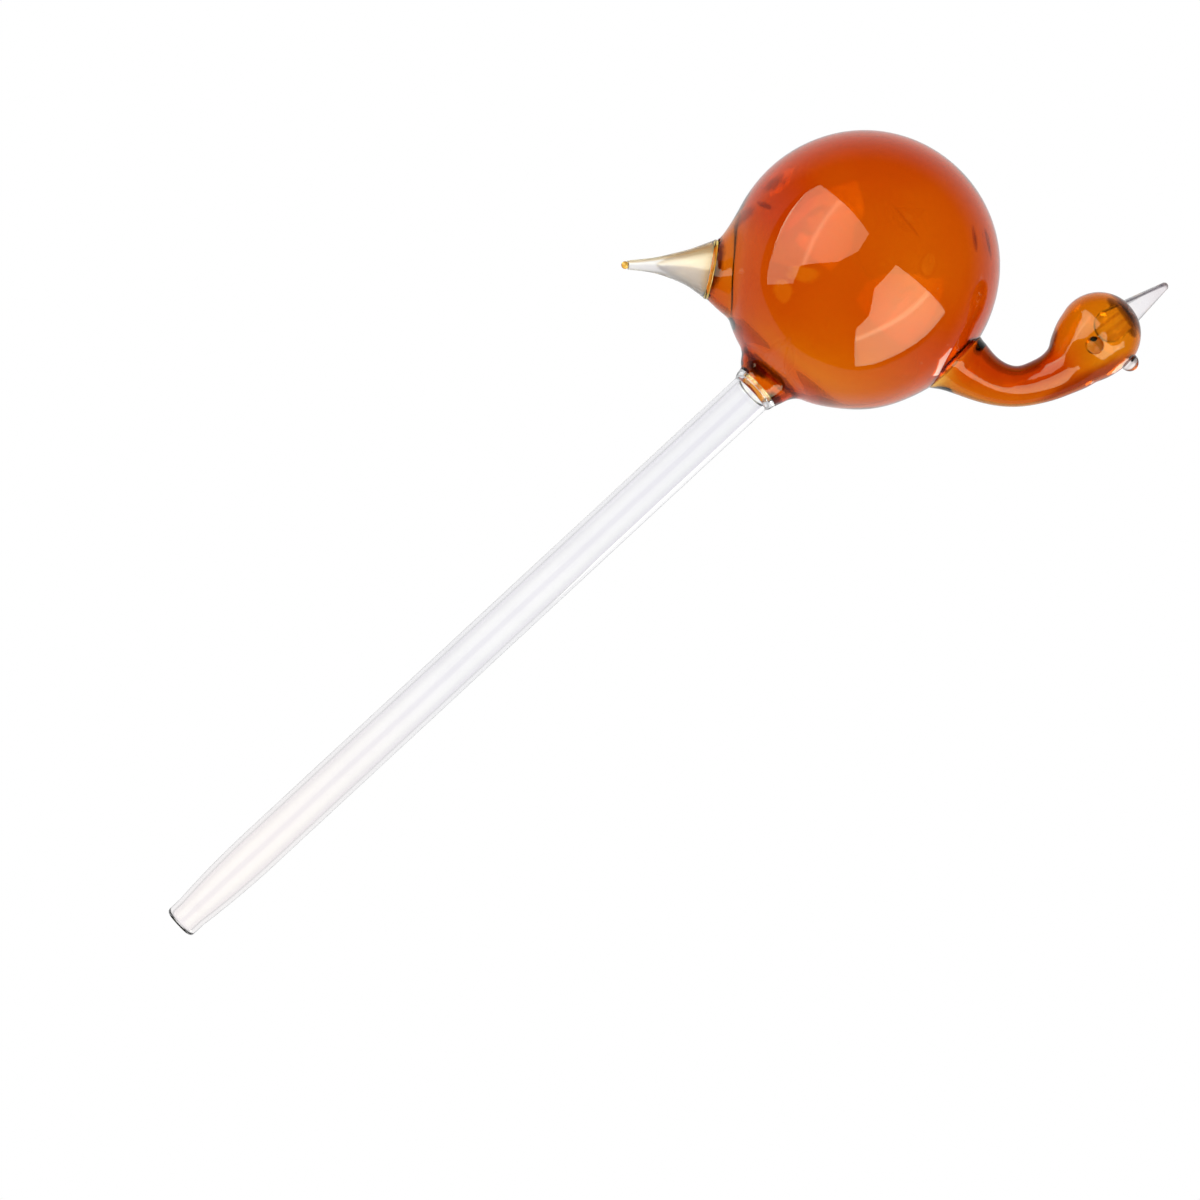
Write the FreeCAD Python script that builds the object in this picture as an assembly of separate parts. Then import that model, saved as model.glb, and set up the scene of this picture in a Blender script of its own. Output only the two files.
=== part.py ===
import FreeCAD, Part
import math
import os

# A hand-blown watering globe in the form of a bird.
# Millimetres. +Z runs up the stem, +X towards the bird's head, and the origin is the centre of
# the stem's open tip. The whole bird lies in the XZ plane.

# Stem: a clear tube with a tapered, fire-polished tip
stem_length = 196.2
stem_diameter = 11.0
stem_wall = 1.2
tip_diameter = 8.7
tip_land = 4.5
tip_taper = 23.5

# Weld between the stem and the globe's collar
stem_weld_height = 2.4
stem_weld_bulge = 0.25
spigot_length = 0.8
spigot_wall = 0.6

# Globe: blown round, a little taller than wide, leaning back on its collar
globe_diameter = 69.0
globe_wall = 1.2
globe_lean = 5.85

# The globe's outline from its top down towards the collar, as pairs of the angle from the
# collar's direction, in degrees, and the distance from the centre over the globe's radius
globe_outline_shares = (
    (165, 1.013), (150, 1.011), (135, 1.007), (120, 1.000), (105, 0.995), (90, 0.992),
    (75, 0.993), (60, 1.003), (45, 1.022), (30, 1.033),
)
globe_top_share = 1.013

# Collar: the globe drawn out into a cone, with an upright foot at the mouth
collar_diameter = 12.5
collar_height = 5.6
collar_corner_diameter = 18.0
collar_corner_height = 4.75
collar_shoulder_slope = 22.0
collar_blend = 2.1
collar_foot_height = 1.4

# Port: the hole in the globe's wall under the neck
port_diameter = 12.2

# Neck and head: a hollow tube that leaves the globe level, turns up on one bend and swells
neck_root_pitch = 5.0
neck_root_depth = 0.85
neck_bend_radius = 18.6
neck_waist_diameter = 10.3
neck_wall = 1.0
neck_start_turn = -3.0
neck_end_turn = 93.0
neck_root_turn = -14.0
head_stand_off = 10.5
head_diameter = 21.0

# The neck's swelling, as triples of the share of the turn from the root to the end of the bend,
# the radius over the waist's radius and how far the middle lies outside the bend, over the same
neck_swell_shares = (
    (0.0, 2.10, 0.70), (0.115, 1.72, 0.34), (0.15, 1.58, 0.20), (0.19, 1.465, 0.11), (0.265, 1.31, 0.04),
    (0.34, 1.193, 0.03), (0.435, 1.08, 0.04), (0.565, 1.0, 0.04), (0.70, 1.05, -0.04), (0.81, 1.12, -0.04),
    (0.905, 1.23, -0.01), (0.98, 1.39, 0.03),
)

# The swelling between the end of the bend and the head's centre, as pairs of the share of that
# distance and the share of the way from the waist's radius to the head's
head_entry_shares = ((0.1, 0.51), (0.25, 0.645), (0.45, 0.799), (0.62, 0.886), (0.8, 0.953), (0.92, 0.991))

# Beak: a clear solid spike that leans forward, straight between its two rounded ends
beak_lean = 6.8
beak_root_height = 3.75
beak_reach = 20.5
beak_root_diameter = 8.8
beak_tip_diameter = 2.0

# Eyes: clear domes over black dots
eye_diameter = 4.7
eye_height = 2.55
pupil_diameter = 1.6
pupil_height = 0.4
eye_front_pitch = 4.0
eye_front_turn = 0.0
eye_side_pitch = -25.0
eye_side_turn = -82.5
pupil_pitch = 5.0
pupil_turn = -7.5

# Tail: a pale cone on the globe's flared stub, with a golden ring between them
tail_pitch = 47.9
tail_stub_length = 3.2
tail_ring_diameter = 15.1
tail_ring_width = 1.1
tail_ring_bulge = 0.2
tail_ring_heading = 37.0
tail_chord_pitch = 44.9
tail_bend = 7.0
tail_length = 20.9
tail_wall = 0.8
tail_tip_heading = 50.0
tail_tip_diameter = 2.0

# The tail's outline from the ring to the tip, as pairs of the share of the tail's length and
# the radius over the ring's radius, and the share of the length that is hollow
tail_base_share = 0.96
tail_swell_shares = (
    (0.05, 0.885), (0.13, 0.765), (0.25, 0.60), (0.41, 0.445), (0.61, 0.285), (0.8, 0.20), (0.97, 0.155),
)
tail_hollow_share = 0.65

# The stub's flare from the ring in to the globe, as triples of the depth over the stub's length,
# the radius over the ring's radius and the share of the way from the ring's heading to the pitch
stub_flare_shares = ((0.45, 1.19, 0.2), (0.9, 1.39, 0.45), (1.4, 1.6, 0.7), (2.1, 1.86, 1.0))

# One overrun for every cut
overrun = 1.0

# Sizes that follow from those above
stem_radius = stem_diameter / 2
bore_radius = stem_radius - stem_wall
tip_radius = tip_diameter / 2
globe_radius = globe_diameter / 2
collar_radius = collar_diameter / 2
mouth_height = stem_length + stem_weld_height
spigot_radius = bore_radius + spigot_wall
ring_radius = tail_ring_diameter / 2
waist_radius = neck_waist_diameter / 2
head_radius = head_diameter / 2


def direction(angle):
    """A direction in the XZ plane, from +X towards +Z, in degrees."""
    turn = math.radians(angle)
    return FreeCAD.Vector(math.cos(turn), 0, math.sin(turn))


def polar(centre, angle, length):
    """A point of the XZ plane at an angle and a distance from a centre."""
    return centre + direction(angle) * length


mouth = FreeCAD.Vector(0, 0, mouth_height)
globe_centre = polar(mouth, 90 + globe_lean, globe_radius + collar_height)
neck_root = polar(globe_centre, neck_root_pitch, globe_radius - neck_root_depth)
bend_centre = polar(neck_root, neck_start_turn + 90, neck_bend_radius)
bend_end = polar(bend_centre, neck_end_turn - 90, neck_bend_radius)
head_centre = polar(bend_end, neck_end_turn, head_stand_off)
ring_centre = polar(globe_centre, 180 + tail_pitch, globe_radius + tail_stub_length)


def vector(x, z):
    return FreeCAD.Vector(x, 0, z)


def line(a, b):
    return Part.LineSegment(a, b).toShape()


def arc(a, middle, b):
    return Part.Arc(a, middle, b).toShape()


def spline(points, start=None, end=None):
    """A smooth curve through the points, with the tangents at its ends where they are given."""
    curve = Part.BSplineCurve()
    if start and end:
        curve.interpolate(Points=points, InitialTangent=start, FinalTangent=end)
    else:
        curve.interpolate(Points=points)
    return curve.toShape()


def turned(edges):
    """The solid that a closed outline in the XZ plane makes when it turns about Z."""
    face = Part.Face(Part.Wire(edges))
    solid = face.revolve(FreeCAD.Vector(0, 0, 0), FreeCAD.Vector(0, 0, 1), 360)
    return solid


def aimed(solid, origin, direction):
    """Moves a solid made about Z so that its axis runs from origin along direction."""
    moved = solid.copy()
    turn = FreeCAD.Rotation(FreeCAD.Vector(0, 0, 1), direction)
    moved.Placement = FreeCAD.Placement(origin, turn)
    return moved


def section(centre, heading, radius):
    """A circle square to a heading in the XZ plane, in degrees from +X towards +Z."""
    circle = Part.Wire(Part.makeCircle(radius))
    circle.Placement = FreeCAD.Placement(centre, FreeCAD.Rotation(FreeCAD.Vector(0, 1, 0), 90 - heading))
    return circle


def horn(stations):
    """A smooth closed solid through circles given as (centre, heading, radius)."""
    wires = [section(*station) for station in stations]
    return Part.makeLoft(wires, True, False)


def tube_outline(inset):
    """The stem's outline from the tip's land up, set in from the outside by a distance."""
    land = tip_radius - inset
    barrel = stem_radius - inset
    rise = stem_radius - tip_radius
    sweep = (tip_taper ** 2 + rise ** 2) / (2 * rise)
    half = tip_taper / 2
    dip = sweep - math.sqrt(sweep ** 2 - half ** 2)
    middle = vector(barrel - dip, tip_land + half)
    return land, barrel, middle


def stem_tube():
    """The clear tube: a barrel, a taper and a short straight land, its rim rounded from the outside."""
    outer_land, outer_barrel, outer_middle = tube_outline(0)
    inner_land, inner_barrel, inner_middle = tube_outline(stem_wall)
    rim_centre = vector(inner_land, stem_wall)
    shoulder = tip_land + tip_taper
    edges = [
        arc(vector(inner_land, 0), polar(rim_centre, -45, stem_wall), vector(outer_land, stem_wall)),
        line(vector(outer_land, stem_wall), vector(outer_land, tip_land)),
        arc(vector(outer_land, tip_land), outer_middle, vector(outer_barrel, shoulder)),
        line(vector(outer_barrel, shoulder), vector(outer_barrel, stem_length)),
        line(vector(outer_barrel, stem_length), vector(inner_barrel, stem_length)),
        line(vector(inner_barrel, stem_length), vector(inner_barrel, shoulder)),
        arc(vector(inner_barrel, shoulder), inner_middle, vector(inner_land, tip_land)),
        line(vector(inner_land, tip_land), vector(inner_land, 0)),
    ]
    return turned(edges)


def stem_weld_ring():
    """The clear ring that widens from the stem to the collar, round the collar's spigot."""
    step = mouth_height - spigot_length
    middle_radius = (stem_radius + collar_radius) / 2 + stem_weld_bulge
    middle = vector(middle_radius, stem_length + stem_weld_height / 2)
    edges = [
        line(vector(bore_radius, stem_length), vector(stem_radius, stem_length)),
        arc(vector(stem_radius, stem_length), middle, vector(collar_radius, mouth_height)),
        line(vector(collar_radius, mouth_height), vector(spigot_radius, mouth_height)),
        line(vector(spigot_radius, mouth_height), vector(spigot_radius, step)),
        line(vector(spigot_radius, step), vector(bore_radius, step)),
        line(vector(bore_radius, step), vector(bore_radius, stem_length)),
    ]
    return turned(edges)


def blend(corner, into, out):
    """An arc tangent to two straight runs that meet at a corner, given their directions from it."""
    start = corner + into * collar_blend
    end = corner + out * collar_blend
    half = into.getAngle(out) / 2
    inward = (into + out).normalize()
    sweep = collar_blend * math.tan(half)
    middle = corner + inward * (collar_blend / math.cos(half) - sweep)
    return start, middle, end


def globe_body(inset):
    """The turned form of the globe about its leaning axis, set in by a wall.

    It runs from the top down to the plane where the collar's upright foot begins.
    """
    base = -(globe_radius + collar_height)
    top = vector(0, globe_radius * globe_top_share - inset)
    points = [top]
    for angle, share in globe_outline_shares:
        points.append(direction(angle - 90) * (globe_radius * share - inset))
    corner = vector(collar_corner_diameter / 2 - inset, base + collar_corner_height + inset)
    mouth_edge = vector(bore_radius if inset else collar_radius, base)
    shoulder = direction(collar_shoulder_slope)
    down = (mouth_edge - corner).normalize()
    start, middle, end = blend(corner, shoulder, down)
    points.append(start)
    foot = corner + down * ((corner.z - base - collar_foot_height) / -down.z)
    edges = [
        spline(points, FreeCAD.Vector(1, 0, 0), shoulder * -1),
        arc(start, middle, end),
        line(end, foot),
        line(foot, vector(0, foot.z)),
        line(vector(0, foot.z), top),
    ]
    return aimed(turned(edges), globe_centre, globe_centre - mouth), foot.x


def globe_form(inset):
    """The globe and the foot that brings its leaning collar upright at the mouth."""
    body, foot_radius = globe_body(inset)
    mouth_radius = bore_radius if inset else collar_radius
    ends = [
        section(mouth, 90, mouth_radius),
        section(polar(mouth, 90 + globe_lean, collar_foot_height), 90 + globe_lean, foot_radius),
    ]
    return body.fuse(Part.makeLoft(ends, True, True))


def stub_body(inset):
    """The flared stub under the tail, from the ring's plane in to the globe."""
    stations = [(ring_centre, tail_ring_heading, ring_radius - inset)]
    for depth, swell, turn in stub_flare_shares:
        centre = polar(ring_centre, tail_pitch, tail_stub_length * depth)
        heading = tail_ring_heading + (tail_pitch - tail_ring_heading) * turn
        stations.append((centre, heading, ring_radius * swell - inset))
    return horn(stations)


def globe():
    """The blown amber globe with its collar, spigot, tail stub and neck port."""
    spigot_foot = mouth - FreeCAD.Vector(0, 0, spigot_length)
    outer = globe_form(0).fuse(stub_body(0))
    outer = outer.fuse(Part.makeCylinder(spigot_radius, spigot_length, spigot_foot))
    bore_foot = spigot_foot - FreeCAD.Vector(0, 0, overrun)
    hollow = globe_form(globe_wall).fuse(stub_body(globe_wall))
    hollow = hollow.fuse(Part.makeCylinder(bore_radius, spigot_length + overrun, bore_foot))
    port_start = vector(globe_centre.x, neck_root.z)
    port = Part.makeCylinder(port_diameter / 2, globe_radius + overrun, port_start, direction(0))
    return outer.cut(hollow).cut(port).removeSplitter()


def neck_body(inset):
    """The neck along its bend, from inside the globe to the middle of the head.

    Set in by a wall, it starts further back, so that the wall is open towards the globe.
    """
    stations = []
    for share, swell, drift in neck_swell_shares:
        turn = neck_root_turn + (neck_end_turn - neck_root_turn) * share
        centre = polar(bend_centre, turn - 90, neck_bend_radius + waist_radius * drift)
        stations.append((centre, turn, waist_radius * swell - inset))
    if inset > 0:
        centre, turn, radius = stations[0]
        stations.insert(0, (polar(centre, turn, -overrun), turn, radius))
    for share, swell_share in head_entry_shares:
        centre = polar(bend_end, neck_end_turn, head_stand_off * share)
        radius = waist_radius + (head_radius - waist_radius) * swell_share
        stations.append((centre, neck_end_turn, radius - inset))
    stations.append((head_centre, neck_end_turn, head_radius - inset))
    return horn(stations)


def head_form(inset):
    """The neck and the half ball that tops the head, set in by a wall."""
    crown = Part.makeSphere(head_radius - inset, head_centre, direction(neck_end_turn), 0, 90, 360)
    return neck_body(inset).fuse(crown)


def neck_and_head(skull):
    """The hollow amber neck and head, shaped to the globe and open towards it."""
    shell = skull.cut(head_form(neck_wall))
    for cutter in (globe_form(0), beak()):
        shell = shell.cut(cutter)
    return shell.removeSplitter()


def beak():
    """The clear spike: a large ball inside the head and a small one outside, and a cone tangent to both."""
    root = beak_root_diameter / 2
    tip = beak_tip_diameter / 2
    length = beak_reach - beak_root_height
    lean = math.degrees(math.asin((root - tip) / length))
    tilt = direction(lean)
    half = direction((lean - 90) / 2)
    rise = direction((lean + 90) / 2)
    far = vector(0, length)
    edges = [
        arc(vector(0, -root), half * root, tilt * root),
        line(tilt * root, far + tilt * tip),
        arc(far + tilt * tip, far + rise * tip, vector(0, length + tip)),
        line(vector(0, length + tip), vector(0, -root)),
    ]
    point = direction(90 - beak_lean)
    return aimed(turned(edges), head_centre + point * beak_root_height, point)


def gaze(pitch, turn):
    """A direction from the head's centre, raised by a pitch and turned about +Z from +X."""
    return FreeCAD.Rotation(FreeCAD.Vector(0, 0, 1), turn).multVec(direction(pitch))


def eye(skull, cap, pitch, turn):
    """A clear domed bead on the head and the black dot under it, a little off its middle."""
    axis = gaze(pitch, turn)
    seat = head_centre + axis * math.sqrt(head_radius ** 2 - (eye_diameter / 2) ** 2)
    stretch = FreeCAD.Matrix()
    stretch.scale(1, 1, eye_height / (eye_diameter / 2))
    dome = aimed(Part.makeSphere(eye_diameter / 2).transformGeometry(stretch), seat, axis)
    sight = gaze(pitch + pupil_pitch, turn + pupil_turn)
    dot = Part.makeCylinder(pupil_diameter / 2, head_diameter, head_centre, sight)
    pupil = dot.common(cap).cut(skull)
    return dome.cut(skull).cut(pupil), pupil


def tail_point(share):
    """A point of the tail's centreline, one arc from the ring's outer face to the tip."""
    base = polar(ring_centre, 180 + tail_ring_heading, tail_ring_width)
    bend_radius = tail_length / math.radians(tail_bend)
    chord = 2 * bend_radius * math.sin(math.radians(tail_bend * share / 2))
    return polar(base, 180 + tail_chord_pitch - tail_bend * (1 - share) / 2, chord)


def tail_body(reach_share, inset):
    """The tail's form from the ring's face to a share of its length, set in by a wall."""
    stations = [(tail_point(0), tail_ring_heading, ring_radius * tail_base_share - inset)]
    for share, swell in tail_swell_shares:
        if share <= reach_share:
            heading = tail_ring_heading + (tail_tip_heading - tail_ring_heading) * share
            stations.append((tail_point(share), heading, ring_radius * swell - inset))
    return horn(stations)


def tail_cone():
    """The pale cone, hollow from the ring to near its thin end."""
    return tail_body(1, 0).cut(tail_body(tail_hollow_share, tail_wall)).cut(tail_tip())


def tail_tip():
    """The amber bead that closes the cone's thin end."""
    return Part.makeSphere(tail_tip_diameter / 2, tail_point(1))


def tail_weld_ring():
    """The golden ring between the globe's stub and the cone."""
    inner = ring_radius - globe_wall
    middle = vector(ring_radius + tail_ring_bulge, tail_ring_width / 2)
    outer_end = ring_radius * tail_base_share
    edges = [
        line(vector(inner, 0), vector(ring_radius, 0)),
        arc(vector(ring_radius, 0), middle, vector(outer_end, tail_ring_width)),
        line(vector(outer_end, tail_ring_width), vector(inner, tail_ring_width)),
        line(vector(inner, tail_ring_width), vector(inner, 0)),
    ]
    return aimed(turned(edges), ring_centre, direction(180 + tail_ring_heading))


def build():
    skull = head_form(0)
    cap = head_form(-pupil_height)
    eye_bead_front, pupil_front = eye(skull, cap, eye_front_pitch, eye_front_turn)
    eye_bead_side, pupil_side = eye(skull, cap, eye_side_pitch, eye_side_turn)
    return {
        "stem_tube": stem_tube(),
        "stem_weld_ring": stem_weld_ring(),
        "globe": globe(),
        "neck_and_head": neck_and_head(skull),
        "beak": beak(),
        "eye_bead_front": eye_bead_front,
        "eye_bead_side": eye_bead_side,
        "pupil_front": pupil_front,
        "pupil_side": pupil_side,
        "tail_weld_ring": tail_weld_ring(),
        "tail_cone": tail_cone(),
        "tail_tip": tail_tip(),
    }


os.makedirs("parts", exist_ok=True)
for name, shape in build().items():
    box = shape.BoundBox
    print(f"{name}: {len(shape.Solids)} solid, valid {shape.isValid()}, volume {shape.Volume:.1f} mm3, "
          f"X {box.XMin:.2f} to {box.XMax:.2f}, Y {box.YMin:.2f} to {box.YMax:.2f}, Z {box.ZMin:.2f} to {box.ZMax:.2f}")
    shape.exportStep(f"parts/{name}.step")
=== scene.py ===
import logging
import math
from dataclasses import dataclass
from enum import Enum

import bmesh
import bpy
import numpy as np
from mathutils import Matrix, Vector


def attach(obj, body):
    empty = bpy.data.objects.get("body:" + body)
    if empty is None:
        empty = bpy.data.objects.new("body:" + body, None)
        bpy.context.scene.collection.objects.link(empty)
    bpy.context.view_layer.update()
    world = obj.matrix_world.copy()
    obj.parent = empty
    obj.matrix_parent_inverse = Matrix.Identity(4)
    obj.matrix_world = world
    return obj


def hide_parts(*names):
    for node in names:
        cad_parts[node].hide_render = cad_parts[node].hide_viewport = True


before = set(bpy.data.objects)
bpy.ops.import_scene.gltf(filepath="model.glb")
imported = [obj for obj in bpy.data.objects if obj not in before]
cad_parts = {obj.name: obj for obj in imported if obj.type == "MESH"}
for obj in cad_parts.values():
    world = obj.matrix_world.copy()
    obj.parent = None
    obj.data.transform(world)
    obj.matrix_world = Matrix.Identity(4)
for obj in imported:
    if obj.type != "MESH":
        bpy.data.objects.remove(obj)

Array = np.ndarray
Material = bpy.types.Material
Piece = bpy.types.Object
Socket = bpy.types.NodeSocket

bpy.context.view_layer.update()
LOG = logging.getLogger("watering_globe")
MM = 0.001
BODY = "root"
UP = 90.0
BACK = 180.0
ACROSS = np.array([0.0, 1.0, 0.0])
DOWN = np.array([0.0, 0.0, -1.0])
AIR_GAP = 0.03
WELD_DISTANCE = 2e-7
CREASE = 40.0


class Face(Enum):
    """Which face of a blown wall a surface is."""

    OUTER = "outer"
    INNER = "inner"


class Waviness(Enum):
    """How much a piece's surface wanders, by how it was worked. The values are depths in metres."""

    DRAWN = 0.00003
    BLOWN = 0.00012
    LAMPWORKED = 0.00008
    DOTTED = 0.00002


# Geometry of the bird's plane, in millimetres and degrees


def direction(angle: float) -> Array:
    """A unit vector in the bird's plane, at an angle from +X towards +Z."""
    turn = math.radians(angle)
    return np.array([math.cos(turn), 0.0, math.sin(turn)])


def polar(centre: Array, angle: float, length: float) -> Array:
    """The point of the bird's plane at an angle and a distance from a centre."""
    return centre + direction(angle) * length


def units(vectors: Array) -> Array:
    """The vectors scaled to a length of one."""
    return vectors / np.linalg.norm(vectors, axis=-1, keepdims=True)


def smooth_step(value: Array, low: float, high: float) -> Array:
    """A smooth rise from 0 at low to 1 at high."""
    share = np.clip((value - low) / (high - low), 0.0, 1.0)
    return share * share * (3.0 - 2.0 * share)


def full_circle(count: int) -> Array:
    """Evenly spaced angles round a circle, in radians."""
    return np.linspace(0.0, 2.0 * math.pi, count, endpoint=False)


def curve_through(marks: Array, samples: Array) -> Array:
    """A natural cubic curve through rows of values.

    Args:
        marks: rows of the parameter, rising, and the values there.
        samples: the parameters wanted.

    Returns:
        One row of values for each sample.
    """
    x, y = np.split(np.asarray(marks, float), [1], axis=1)
    x = x[:, 0]
    count, step = len(x), np.diff(x)
    system, right = np.zeros((count, count)), np.zeros((count, y.shape[1]))
    system[0, 0] = system[-1, -1] = 1.0
    for i in range(1, count - 1):
        system[i, i - 1:i + 2] = step[i - 1], 2.0 * (step[i - 1] + step[i]), step[i]
        right[i] = 6.0 * ((y[i + 1] - y[i]) / step[i] - (y[i] - y[i - 1]) / step[i - 1])
    bend = np.linalg.solve(system, right)
    s = np.clip(samples, x[0], x[-1])
    i = np.clip(np.searchsorted(x, s, side="right") - 1, 0, count - 2)
    h = step[i][:, None]
    a = (x[i + 1] - s)[:, None] / h
    b = 1.0 - a
    return a * y[i] + b * y[i + 1] + ((a ** 3 - a) * bend[i] + (b ** 3 - b) * bend[i + 1]) * h ** 2 / 6.0


def spaced(fine: Array, count: int, bunches: tuple, endpoint: bool = True) -> Array:
    """Angles that lie closer together at some places.

    Args:
        fine: evenly spaced angles over the whole range, in degrees.
        count: how many angles are wanted.
        bunches: the middle, width and weight of each place.
        endpoint: whether the last angle is among them.

    Returns:
        The angles, in radians.
    """
    weight = np.ones_like(fine)
    for middle, width, extra in bunches:
        weight = weight + extra * np.exp(-((fine - middle) / width) ** 2)
    total = np.concatenate([[0.0], np.cumsum((weight[1:] + weight[:-1]) / 2.0)])
    return np.radians(np.interp(np.linspace(0.0, total[-1], count, endpoint=endpoint), total, fine))


def bulged(start: tuple, end: tuple, bulge: float, count: int) -> Array:
    """Points on a shallow arc between two points of a profile.

    Args:
        start: the first point.
        end: the last point.
        bulge: how far the middle stands to the right of the chord.
        count: how many points.

    Returns:
        The points, both ends among them.
    """
    share = np.linspace(0.0, 1.0, count)[:, None]
    chord = np.subtract(end, start)
    right = np.array([chord[1], -chord[0]]) / np.hypot(*chord)
    return start + chord * share + right * bulge * 4.0 * share * (1.0 - share)


def rounded(centre: tuple, size: tuple, start: float, end: float, count: int) -> Array:
    """Points on a round edge of a profile.

    Args:
        centre: its middle.
        size: its half width and half height.
        start: the first angle, in degrees above level.
        end: the last angle.
        count: how many points.

    Returns:
        The points.
    """
    turns = np.radians(np.linspace(start, end, count))
    return np.stack([centre[0] + size[0] * np.cos(turns), centre[1] + size[1] * np.sin(turns)], axis=1)


def circle_points(centres: Array, headings: Array, radii: Array, turns: Array) -> Array:
    """Points on circles that stand square to headings in the bird's plane.

    Args:
        centres: the circles' centres.
        headings: their headings in degrees.
        radii: their radii.
        turns: where on each circle the points are, in radians from its upper side.

    Returns:
        One row of points for each circle.
    """
    heading = np.radians(headings)[:, None]
    lift = np.stack([-np.sin(heading), np.zeros_like(heading), np.cos(heading)], axis=-1)
    spokes = np.cos(turns)[:, None] * lift + np.sin(turns)[:, None] * ACROSS
    return centres[:, None] + radii[:, None, None] * spokes


# Meshes


def sheet_mesh(grid: Array) -> bpy.types.Mesh:
    """A mesh in metres of rows of points in millimetres, each row closed on itself.

    Args:
        grid: rows by columns by three.

    Returns:
        The mesh.
    """
    rows, columns = grid.shape[:2]
    index = np.arange(rows * columns).reshape(rows, columns)
    after = np.roll(index, -1, axis=1)
    faces = np.stack([index[:-1], after[:-1], after[1:], index[1:]], axis=-1).reshape(-1, 4)
    mesh = bpy.data.meshes.new("sheet")
    mesh.from_pydata((grid.reshape(-1, 3) * MM).tolist(), [], faces.tolist())
    return mesh


def trimmed(mesh: bpy.types.Mesh, point: Array, outward: Array) -> None:
    """Cuts a sheet off square at a plane.

    Args:
        mesh: the sheet.
        point: a point of the plane, in millimetres.
        outward: the side that goes.
    """
    work = bmesh.new()
    work.from_mesh(mesh)
    bmesh.ops.bisect_plane(work, geom=work.verts[:] + work.edges[:] + work.faces[:], dist=1e-7,
                           plane_co=Vector(point * MM), plane_no=Vector(outward), clear_outer=True)
    work.to_mesh(mesh)
    work.free()


def open_edges(work: bmesh.types.BMesh, point: Array, outward: Array, low: float, high: float) -> list:
    """The open edges that lie in a plane and at a distance from a point of it.

    Args:
        work: the mesh in hand.
        point: the point, in millimetres.
        outward: the plane's normal.
        low: the least distance from the point.
        high: the greatest.

    Returns:
        The edges.
    """
    centre, normal, flat = Vector(point * MM), Vector(outward), 0.02 * MM

    def near(vert: bmesh.types.BMVert) -> bool:
        """Whether a vertex lies there."""
        away = vert.co - centre
        return abs(away.dot(normal)) < flat and low * MM < away.length < high * MM

    return [edge for edge in work.edges if len(edge.link_faces) == 1 and all(map(near, edge.verts))]


def linked(name: str, mesh: bpy.types.ID) -> Piece:
    """Puts an object of a mesh in the scene.

    Args:
        name: its name.
        mesh: the mesh, or a camera's data.

    Returns:
        The object.
    """
    piece = bpy.data.objects.new(name, mesh)
    bpy.context.scene.collection.objects.link(piece)
    return piece


def finished(name: str, mesh: bpy.types.Mesh, glass: Material) -> Piece:
    """Makes a mesh a piece: welded, its faces outwards, its shading smooth up to a crease.

    Args:
        name: the piece's name.
        mesh: its closed mesh.
        glass: its material.

    Returns:
        The piece.
    """
    work = bmesh.new()
    work.from_mesh(mesh)
    bmesh.ops.remove_doubles(work, verts=work.verts, dist=WELD_DISTANCE)
    bmesh.ops.dissolve_degenerate(work, edges=work.edges, dist=1e-8)
    bmesh.ops.recalc_face_normals(work, faces=work.faces)
    work.to_mesh(mesh)
    work.free()
    mesh.name = name
    mesh.materials.clear()
    mesh.materials.append(glass)
    mesh.polygons.foreach_set("use_smooth", [True] * len(mesh.polygons))
    mesh.set_sharp_from_angle(angle=math.radians(CREASE))
    mesh.update()
    return linked(name, mesh)


def placed(piece: Piece, slot: str, node: str) -> Piece:
    """Puts a piece in the place of its CAD node.

    Args:
        piece: the piece.
        slot: the name of its finish's slot, written to the log.
        node: the node that it stands for.

    Returns:
        The piece.
    """
    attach(piece, BODY)
    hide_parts(node)
    LOG.info("%s: %d faces, %s", piece.name, len(piece.data.polygons), slot)
    return piece


# Node trees


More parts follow.
